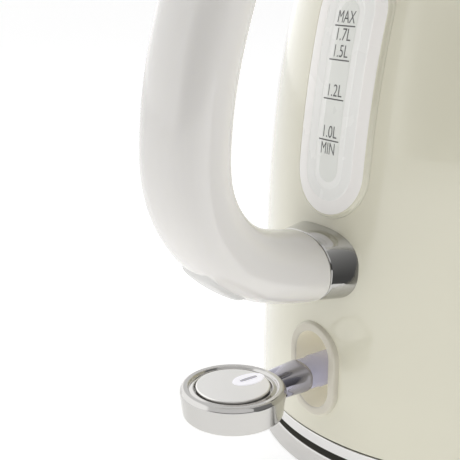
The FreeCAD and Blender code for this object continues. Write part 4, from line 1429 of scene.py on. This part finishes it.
@dataclass
class SwitchBezel:
    """The raised oval rim of the switch slot with the tunnel behind it."""

    centre: float = 41.5
    slot: Pair = (8.6, 14.4)
    rim: Pair = (12.2, 18.0)
    front: float = -84.3
    back: float = -69.4
    tuck: float = -81.0
    tail: float = -68.0
    tunnel_wall: float = 1.3
    bend: float = 0.8
    arm_slot: Triple = (7.2, 29.9, 49.9)

    def ring(self, size: Pair, grow: float, x: float) -> Points:
        """Points round the slot or its rim, grown by a margin, at one depth."""
        half_width, half_height = size[0] + grow, size[1] + grow
        outline = slot_outline(half_width, self.centre - half_height, self.centre + half_height, 32, 10)
        return np.column_stack([np.full(len(outline), x), outline])

    def build(self) -> None:
        """Make and place the bezel."""
        slot, rim, bend = self.slot, self.rim, self.bend
        foot = self.ring(rim, 0.0, 0.0)
        foot = WALL.handle_side(foot[:, 1], foot[:, 2], 0.02)
        rings = [self.ring(slot, self.tunnel_wall, x) for x in (self.tail, self.tuck)] + [foot]
        side = self.ring(rim, -0.2, self.front + 0.9)
        rings += [foot * (1 - s) + side * s for s in (0.35, 0.7, 1.0)]
        turns = [math.radians(15 + 15 * k) for k in range(6)]
        rings += [self.ring(rim, -0.3 - bend * (1 - math.cos(a)), self.front + bend * (1 - math.sin(a)))
                  for a in turns]
        rings.append(self.ring(slot, 1.0, self.front))
        rings += [self.ring(slot, bend * (1 - math.sin(a)), self.front + bend * (1 - math.cos(a)))
                  for a in turns]
        rings += [self.ring(slot, 0.0, x) for x in (-82.0, -78.0, -74.0, self.back - 0.4, self.back)]
        hole = slot_outline(*self.arm_slot, 32, 10)
        rings += [np.column_stack([np.full(len(hole), x), hole]) for x in (self.back, self.tail)]
        bezel = paint(from_rings("switch_rim", rings, wrap=True), BEZEL)
        # The tunnel's inner faces take the copy whose strong glow is painted light in the slot's shade.
        bezel.data.materials.append(BEZEL_TUNNEL_PAINTED_LIGHT.material())
        straight = slot[1] - slot[0]
        for face in bezel.data.polygons:
            _, y, z = face.center / MM
            rise = max(0.0, abs(z - self.centre) - straight)
            face.material_index = int(math.hypot(y, rise) < slot[0] + 0.1)
        place(bezel, Body.KETTLE, "bezel_plastic", "switch_bezel")


@dataclass
class Lever:
    """The switch lever: clear bar, bright sleeve, round knob, cap and indicator lens."""

    knob_x: float = -119.4
    pivot_x: float = -60.0
    pivot_z: float = 40.5
    root: float = -66.0
    tip: float = -103.2
    nose_x: float = -98.0
    nose_r: float = 9.5
    power: float = 2.6
    hub_profile: tuple[Pair, ...] = (
        (1.6, -6.0), (5.1, -6.0), (5.6, -5.5), (5.6, 5.5), (5.1, 6.0), (1.6, 6.0))
    web: Triple = (5.0, 4.5, 4.0)
    sleeve_wall: float = 0.5
    sleeve_steps: int = 26
    knob_profile: tuple[Triple, ...] = (
        (0.0, 34.3, 0.0), (15.3, 34.3, 1.6), (17.25, 35.4, 1.4), (18.2, 43.9, 0.8), (17.3, 45.3, 0.9),
        (15.5, 45.3, 0.5), (15.05, 44.4, 0.2), (13.45, 44.9, 0.4), (13.1, 43.1, 0.1), (0.0, 43.1, 0.0))
    knob_satin_below: float = 43.0
    cap_profile: tuple[Triple, ...] = (
        (0.0, 43.15, 0.0), (12.75, 43.15, 0.2), (12.75, 45.5, 0.45), (0.0, 45.5, 0.0))
    lens_at: Triple = (-112.6, 0.2, 45.3)
    lens_half: Pair = (6.3, 3.9)
    lens_profile: tuple[Pair, ...] = (
        (1.0, -0.5), (1.0, 0.2), (0.985, 0.32), (0.95, 0.40), (0.88, 0.44), (0.7, 0.46), (0.4, 0.47),
        (0.1, 0.47))
    lens_bar_half: Pair = (3.6, 0.75)
    lens_bar_profile: tuple[Pair, ...] = ((1.0, 0.3), (1.0, 0.52), (0.9, 0.60))

    def bar_ring(self, x: float, grow: float) -> Points:
        """The bar's outline at one place along X.

        Args:
            x: The place; the bar is slimmer towards its tip.
            grow: Distance outside its skin.

        Returns:
            The outline's points.
        """
        share = np.interp(x, [-104.0, -90.0, -66.0], [0.0, 1.0, 1.0])
        wide, high = 5.6 + 0.4 * share, 4.7 + 0.9 * share + 0.1 * np.interp(x, [-90, -66], [0, 1])
        centre = (x, 0, self.pivot_z - 0.3 * (1 - share))
        return oval_ring(centre, Y_WAY, Z_WAY, wide + grow, high + grow, self.power, 64)

    def build(self) -> None:
        """Make and place the pieces."""
        self.build_bar()
        self.build_sleeve()
        self.build_knob()
        self.build_cap()
        self.build_lens()

    def build_bar(self) -> None:
        """The clear bar, with the hub that the lever turns on."""
        stations = [(self.tip + 0.8, -2.0)] + [(x, -0.35) for x in np.linspace(self.tip + 0.8, -84.0, 24)]
        stations += [(x, -0.05) for x in np.linspace(-83.0, self.root, 14)] + [(self.root + 0.3, -0.6)]
        bar = from_rings("lever_clear_bar", [self.bar_ring(x, grow) for x, grow in stations])
        turn = np.arange(48) * (2 * math.pi / 48)
        hub = from_rings("hub", [np.column_stack([self.pivot_x + r * np.cos(turn), np.full(48, y),
                                                  self.pivot_z + r * np.sin(turn)])
                                 for r, y in self.hub_profile], wrap=True)
        web = from_rings("web", [oval_ring((x, 0, self.pivot_z), Y_WAY, Z_WAY, *self.web, 32)
                                 for x in (self.root, self.pivot_x - 2.0)])
        whole = paint(joined("lever_clear_bar", [bar, hub, web]), CLEAR_LEVER)
        place(whole, Body.LEVER, "lever_clear", "lever_bar")

    def build_sleeve(self) -> None:
        """The bright sleeve, whose end towards the slot is rounded in side view."""
        tip = self.bar_ring(self.tip, 0.0)
        reach = np.sqrt(np.maximum(self.nose_r ** 2 - (tip[:, 2] - self.pivot_z) ** 2, 0))
        length, shares = self.nose_x + reach - self.tip, np.linspace(0, 1, self.sleeve_steps)
        rings = []
        for grow, order in ((0.0, shares), (-self.sleeve_wall, shares[::-1])):
            for share in order:
                edge = grow if share < 1 else grow - 0.08
                places = self.tip + length * share
                rings.append(np.array([self.bar_ring(x, edge)[j] for j, x in enumerate(places)]))
        sleeve = from_rings("lever_bright_sleeve", rings, wrap=True)
        # The sleeve's chrome is darkened as painted shade in its reflection.
        place(paint(sleeve, VIOLET_CHROME_PAINTED_DARK), Body.LEVER, "bright_metal", "lever_sleeve")

    def build_knob(self) -> None:
        """The round knob with its rolled rim and the groove round its cap."""
        knob = lathe("knob_bright", rounded(self.knob_profile, 9), 160, (self.knob_x, 0.0))
        # The knob's chrome is dimmed as painted reflection.
        paint(knob, KNOB_CHROME_PAINTED_DIM)
        knob.data.materials.append(SATIN_CHROME.material())
        for face in knob.data.polygons:
            low = face.center.z < self.knob_satin_below * MM
            upright = abs(face.normal.z) < 0.5
            face.material_index = int(low and upright)
        place(knob, Body.LEVER, "bright_metal", "knob_shell")

    def build_cap(self) -> None:
        """The satin cap in the top of the knob."""
        cap = lathe("knob_cap_satin", rounded(self.cap_profile), 128, (self.knob_x, 0.0))
        place(paint(cap, CAP_METAL), Body.LEVER, "satin_metal", "knob_cap")

    def build_lens(self) -> None:
        """The oval indicator lens and the short raised bar on it."""
        parts = []
        for name, finish, half, profile, power, count in (
                ("indicator_lens", LENS, self.lens_half, self.lens_profile, 2.0, 64),
                ("indicator_bar", LENS_BAR, self.lens_bar_half, self.lens_bar_profile, 4.0, 32)):
            rings = [oval_ring(np.array(self.lens_at) + np.array([0, 0, rise]), X_WAY, Y_WAY,
                               half[0] * size, half[1] * size, power, count) for size, rise in profile]
            parts.append(paint(from_rings(name, rings), finish))
        place(joined("indicator_lens", parts), Body.LEVER, "lens_clear", "knob_lens")


@dataclass
class RimAndLid:
    """The bright rim of the filling neck, and the lid with its knob."""

    rim_profile: tuple[Triple, ...] = (
        (50.0, 206.0, 0.4), (51.2, 206.0, 0.3), (51.2, 216.0, 0.0), (56.2, 216.0, 0.5), (56.9, 216.9, 0.6),
        (56.9, 218.5, 0.8), (56.2, 219.2, 0.8), (50.8, 219.2, 0.6), (50.0, 218.5, 0.5))
    lid_z: float = 219.6
    lid_r: float = 55.6
    lid_rise: float = 17.0
    lid_sheet: float = 1.2
    dome_steps: int = 40
    knob_points: tuple[Pair, ...] = (
        (7.4, -0.35), (7.5, 0.2), (7.3, 0.75), (6.6, 1.25), (5.6, 1.8), (5.0, 2.8), (4.7, 4.2), (5.0, 5.4),
        (6.2, 6.4), (8.2, 7.3), (10.2, 8.1), (11.7, 9.1), (12.35, 10.6), (12.2, 12.0), (11.3, 13.5),
        (9.4, 15.0), (6.6, 16.3), (3.4, 17.0), (0.0, 17.18))

    def build(self) -> None:
        """Make and place the pieces."""
        rim = lathe("rim_bright", rounded(self.rim_profile), 256)
        place(paint(rim, CHROME), Body.KETTLE, "bright_metal", "rim_ring")
        self.build_dome()
        self.build_knob()

    def arc(self, inset: float) -> list[Pair]:
        """The dome's arc from its edge to its crown, taken in by inset."""
        return [((self.lid_r - inset) * math.cos(a), self.lid_z + (self.lid_rise - inset) * math.sin(a))
                for a in np.linspace(0.0, 0.5 * math.pi, self.dome_steps)]

    def build_dome(self) -> None:
        """The enamelled dome of the lid with a small turned-in edge."""
        outer, inner = self.arc(0.0), self.arc(self.lid_sheet)
        edge = [(inner[0][0], self.lid_z + 0.05), (self.lid_r - 0.5, self.lid_z + 0.02),
                (self.lid_r - 0.12, self.lid_z + 0.12)]
        dome = lathe("lid_dome_enamel", edge + outer[1:] + inner[::-1][:-1], 256)
        place(paint(dome, ENAMEL), Body.LID, "cream_paint", "lid_dome")

    def build_knob(self) -> None:
        """The turned lid knob."""
        crown = self.lid_z + self.lid_rise
        places, _ = natural_spline(np.array(self.knob_points), 90)
        outline = [(0.0, crown - 0.35)] + [(max(r, 0.0), crown + z) for r, z in places]
        place(paint(lathe("lid_knob_bright", outline, 128), CHROME), Body.LID, "bright_metal", "lid_knob")


@dataclass
class PowerBase:
    """The bright skirt of the round power base."""

    skirt_profile: tuple[Triple, ...] = (
        (76.0, 7.1, 0.1), (76.0, 8.3, 0.3), (82.5, 8.3, 0.7), (83.8, 1.0, 0.3), (82.0, 1.0, 0.2),
        (80.8, 7.1, 0.1))
    lead_hole: Pair = (5.62, 3.57)
    lead_z: float = 4.7

    def build(self) -> None:
        """Make and place the skirt, with the hole for the lead's gland."""
        skirt = lathe("base_skirt_bright", rounded(self.skirt_profile), 256)
        hole = [oval_ring((0, y, self.lead_z), X_WAY, Z_WAY, *self.lead_hole, 2.0, 48) for y in (72.0, 90.0)]
        cut_away(skirt, [from_rings("cutter", hole)])
        # The skirt's chrome is dimmed as painted reflection.
        place(paint(skirt, KNOB_CHROME_PAINTED_DIM), Body.BASE, "bright_metal", "base_skirt")


@dataclass
class Fasteners:
    """Screws and feet that repeat round the axis, and the woven filter."""

    seed: int = 7
    recess: Triple = (1.9, 0.45, 1.1)
    base_screw: tuple[float, ...] = (3.2, 1.2, 2.4, 1.6, 8.0)
    underside_screw: tuple[float, ...] = (3.4, 10.9, 12.3, 1.7, 24.0)
    foot_profile: tuple[Triple, ...] = ((0.0, 0.0, 0.0), (7.5, 0.0, 0.4), (7.5, 1.2, 0.05), (0.0, 1.2, 0.0))

    def screw(self, head: float, low: float, high: float, shank: float, top: float) -> Piece:
        """One upright screw on the axis, with a cross recess in its head.

        Args:
            head: Radius of its head.
            low: Height of the head's face.
            high: Height of the head's other side.
            shank: Radius of its shank.
            top: Height of its point.

        Returns:
            The screw.
        """
        edge = 0.25 * (high - low)
        outline = rounded([(0.0, low, 0.0), (head, low, edge), (head, high, 0.1), (shank, high, 0.0),
                           (shank, top - 0.6, 0.2), (0.6 * shank, top, 0.1), (0.0, top, 0.0)], 4)
        part = lathe("screw", outline, 32)
        long, half, deep = self.recess
        bars = []
        for a, b in ((long, half), (half, long)):
            corners = np.array([(-a, -b), (a, -b), (a, b), (-a, b)])
            bars.append(from_rings("cutter", [np.column_stack([corners, np.full(4, z)])
                                              for z in (low - 1.0, low + deep)]))
        cut_away(part, bars)
        return part

    def ring(self, name: str, part: Piece, count: int, radius: float, start: float, spread: float,
             finish: Finish) -> Piece:
        """Copies of a part round the axis as one mesh; the part itself is dropped.

        Args:
            name: Name of the whole.
            part: The part, on the axis.
            count: Number of copies.
            radius: Their distance from the axis.
            start: Direction of the first, in degrees from +X.
            spread: The most that a copy is turned about its own axis, in degrees.
            finish: Finish of the whole.

        Returns:
            The copies as one piece.
        """
        piece = ring_tree().bake(name, {"Part": part, "Count": count, "Radius": radius,
                                        "Start": math.radians(start), "Spread": math.radians(spread),
                                        "Seed": self.seed, "Material": finish.material()})
        bpy.data.objects.remove(part)
        outward(piece)
        return piece

    def build(self) -> None:
        """Make and place the pieces."""
        screws = self.ring("base_screws_steel", self.screw(*self.base_screw), 3, 45.0, 30.0, 90.0, STEEL)
        place(screws, Body.BASE, "steel", "base_screws")
        screws = self.ring("underside_screws_steel", self.screw(*self.underside_screw), 3, 64.0, 0.0, 90.0,
                           STEEL)
        place(screws, Body.KETTLE, "steel", "underside_screws")
        foot = lathe("foot", rounded(self.foot_profile), 48)
        feet = self.ring("base_feet_rubber", foot, 4, 68.0, 45.0, 0.0, RUBBER)
        place(feet, Body.BASE, "black_rubber", "base_feet")
        sheet = mesh_tree().bake("filter_wires", {
            "Pitch": 1.6, "Wire": 0.22, "Half Width": 24.4, "Low": 112.1, "High": 181.9, "Plane": 53.5,
            "Jitter": 0.12, "Seed": self.seed, "Material": STEEL.material()})
        place(sheet, Body.KETTLE, "steel", "filter_mesh")


class StayingNodes:
    """CAD nodes whose own shape is shown, each in its finish."""

    finishes: dict[Finish, tuple[str, ...]] = {
        BLACK_PLASTIC: ("base_bottom_cover", "base_connector", "controller_body", "switch_bracket"),
        # These glow as painted light in the gap at the base.
        DARK_PLASTIC_PAINTED_GLOW: ("base_top_plate", "underside_cover"),
        RUBBER: ("cord_gland",),
        BRASS: ("base_contacts", "controller_contacts"),
        GREY_PLASTIC: ("connector_guard_ring", "lid_liner"),
        WHITE_PLASTIC: ("steam_tube", "filter_frame"),
        SILICONE: ("vessel_seal", "gauge_seal", "lid_seal"),
        ALUMINIUM: ("heat_spreader",),
        STEEL: ("heating_plate", "heating_element", "handle_strap",
                "handle_screws", "lever_pin", "trip_spring", "steam_disc", "hinge_pin",
                "lid_knob_screw"),
        CHROME: ("hinge_bracket", "lid_hinge_arm"),
        LENS: ("switch_lamp",),
    }

    def build(self) -> None:
        """Give each staying node its finish."""
        for finish, nodes in self.finishes.items():
            for node in nodes:
                dress_node(node, finish)


# ---------------------------------------------------------------------------
# Studio
# ---------------------------------------------------------------------------
@dataclass
class Studio:
    """Camera, pale floor and soft light."""

    distance: float = 378.8
    azimuth: float = 38.68
    height: float = 188.19
    turn: float = 14.84
    pitch: float = 16.59
    lens: float = 74.66
    floor_half: float = 4000.0
    floor_z: float = -0.05
    flag_x: Pair = (-90.0, 380.0)
    flag_y: float = -200.0
    flag_near: float = -100.0
    flag_top: float = 520.0
    dark_azimuth: float = 240.0
    bright_azimuth: float = 120.0
    soft_strength: float = 0.36
    dark_share: float = 0.3

    def build(self) -> None:
        """Set up the view, the floor and the lights."""
        self.build_camera()
        self.build_floor()
        self.build_flag()
        self.build_lights()
        self.build_surround()

    def build_camera(self) -> None:
        """The camera, close to the switch side and a little above it."""
        data = bpy.data.cameras.new("camera")
        data.lens, data.sensor_width, data.sensor_fit = self.lens, 36.0, "HORIZONTAL"
        data.clip_start, data.clip_end = 0.01, 50.0
        camera = linked("camera", data)
        a = math.radians(self.azimuth)
        b, c = math.radians(self.azimuth + self.turn), math.radians(self.pitch)
        spot = Vector((-self.distance * math.cos(a), -self.distance * math.sin(a), self.height)) * MM
        forward = Vector((math.cos(b) * math.cos(c), math.sin(b) * math.cos(c), -math.sin(c)))
        right = forward.cross(Vector(Z_WAY)).normalized()
        upward = right.cross(forward)
        turn = Matrix((right, upward, -forward)).transposed().to_4x4()
        camera.matrix_world = Matrix.Translation(spot) @ turn
        bpy.context.scene.camera = camera

    def build_floor(self) -> None:
        """A wide white floor."""
        half, z = self.floor_half, self.floor_z
        corners = np.array([(-half, -half, z), (half, -half, z), (half, half, z), (-half, half, z)])
        floor = new_object("floor", corners, [[0, 1, 2, 3]])
        material = bpy.data.materials.new("white_floor")
        material.use_nodes = True
        shader = material.node_tree.nodes["Principled BSDF"]
        for label, value in (("Base Color", (0.90, 0.90, 0.90, 1)), ("Roughness", 0.7),
                             ("Emission Color", (1, 1, 1, 1)), ("Emission Strength", 0.6)):
            shader.inputs[label].default_value = value
        floor.data.materials.append(material)

    def build_flag(self) -> None:
        """A grey card beside the camera that only shines in bright metal."""
        x0, x1 = self.flag_x
        edges = ((self.flag_near, 0.5), (self.flag_y, 3.0), (self.flag_y, self.flag_top))
        corners = np.array([(x, y, z) for y, z in edges for x in (x0, x1)])
        flag = new_object("grey_flag", corners, [[0, 1, 3, 2], [2, 3, 5, 4]])
        material = bpy.data.materials.new("flag_grey")
        material.use_nodes = True
        nodes = NodeTree(material.node_tree)
        height = nodes.add("SeparateXYZ", Vector=nodes.add("TexCoord").outputs["Object"]).outputs["Z"]
        fade = nodes.add("MapRange", Value=height, From_Min=0.0, From_Max=self.flag_top * MM, To_Min=0.10,
                         To_Max=0.55)
        light = nodes.add("Emission", Strength=fade.outputs["Result"])
        nodes.set(material.node_tree.nodes["Material Output"].inputs["Surface"], light.outputs["Emission"])
        flag.data.materials.append(material)
        flag.visible_camera = flag.visible_diffuse = flag.visible_shadow = flag.visible_transmission = False

    def soft_box(self, name: str, azimuth: float, elevation: float, size: Pair,
                 power: float) -> None:
        """One rectangular area light, 1.2 m from the kettle.

        Args:
            name: Name of the light.
            azimuth: Direction it stands in, in degrees from +X.
            elevation: How high it stands, in degrees.
            size: Width and height in millimetres.
            power: Power in watts.
        """
        data = bpy.data.lights.new(name, "AREA")
        data.shape, data.size, data.size_y, data.energy = "RECTANGLE", size[0] * MM, size[1] * MM, power
        light = linked(name, data)
        a, b = math.radians(azimuth), math.radians(elevation)
        way = Vector((math.cos(a) * math.cos(b), math.sin(a) * math.cos(b), math.sin(b)))
        light.location = Vector((-40.0, 0.0, 110.0)) * MM + way * 1.2
        light.rotation_euler = way.to_track_quat("Z", "Y").to_euler()
        light.visible_glossy = False

    def build_lights(self) -> None:
        """Soft boxes round the kettle."""
        self.soft_box("key", 176.0, 24.0, (900.0, 900.0), 2.7)
        self.soft_box("far_side", 310.0, 24.0, (800.0, 1000.0), 6.0)
        self.soft_box("top", 230.0, 80.0, (1200.0, 1200.0), 0.9)

    def build_surround(self) -> None:
        """A white surround whose reflections darken low down behind the camera."""
        world = bpy.data.worlds.new("surround")
        bpy.context.scene.world = world
        world.use_nodes = True
        nodes = NodeTree(world.node_tree)
        way = nodes.add("TexCoord").outputs["Generated"]

        def towards(azimuth: float) -> Number:
            """How nearly a direction points towards an azimuth.

            Args:
                azimuth: The azimuth in degrees from +X.

            Returns:
                From -1 to 1.
            """
            a = math.radians(azimuth)
            facing = nodes.add("VectorMath", {"operation": "DOT_PRODUCT"}, i0=way,
                               i1=(math.cos(a), math.sin(a), 0.0))
            return Number(nodes, facing.outputs["Value"])

        def ramp(value: object, **ends: float) -> Number:
            """A soft step of a value between two ends."""
            step = nodes.add("MapRange", {"interpolation_type": "SMOOTHSTEP"}, Value=value, **ends)
            return Number(nodes, step.outputs["Result"])

        def choice(mask: Socket, where_0: object, where_1: object) -> Socket:
            """One value where a mask is 0 and another where it is 1."""
            return nodes.add("Mix", {"data_type": "FLOAT"}, i0=mask, i2=where_0, i3=where_1).outputs[0]

        beside = ramp(towards(self.dark_azimuth), From_Min=0.35, From_Max=0.8)
        low = ramp(nodes.split(way)[2], From_Min=0.55, From_Max=0.30)
        glare = ramp(towards(self.bright_azimuth), From_Min=0.42, From_Max=0.54, To_Min=0.88, To_Max=1.4)
        shade = nodes.add("MapRange", Value=beside * low, To_Min=1.0, To_Max=0.08)
        fill = nodes.add("MapRange", Value=beside, To_Min=self.soft_strength,
                         To_Max=self.dark_share * self.soft_strength)
        rays = nodes.add("LightPath").outputs
        shine = glare * Number(nodes, shade.outputs["Result"])
        soft = choice(rays["Is Glossy Ray"], fill.outputs["Result"], shine)
        sky = world.node_tree.nodes["Background"]
        nodes.set(sky.inputs["Strength"], choice(rays["Is Camera Ray"], soft, 1.0))
        nodes.set(sky.inputs["Color"], (1.0, 1.0, 1.0, 1.0))
        bpy.context.scene.view_settings.view_transform = "Standard"


def main() -> None:
    """Build the studio and every sub-assembly in order."""
    logging.basicConfig(level=logging.INFO, format="%(name)s: %(message)s")
    Studio().build()
    for assembly in (PaintedBody(), WaterGauge(), Handle(), SwitchBezel(), Lever(), RimAndLid(),
                     PowerBase(), Fasteners(), StayingNodes()):
        LOG.info("building %s", type(assembly).__name__)
        assembly.build()


if __name__ == "__main__":
    main()
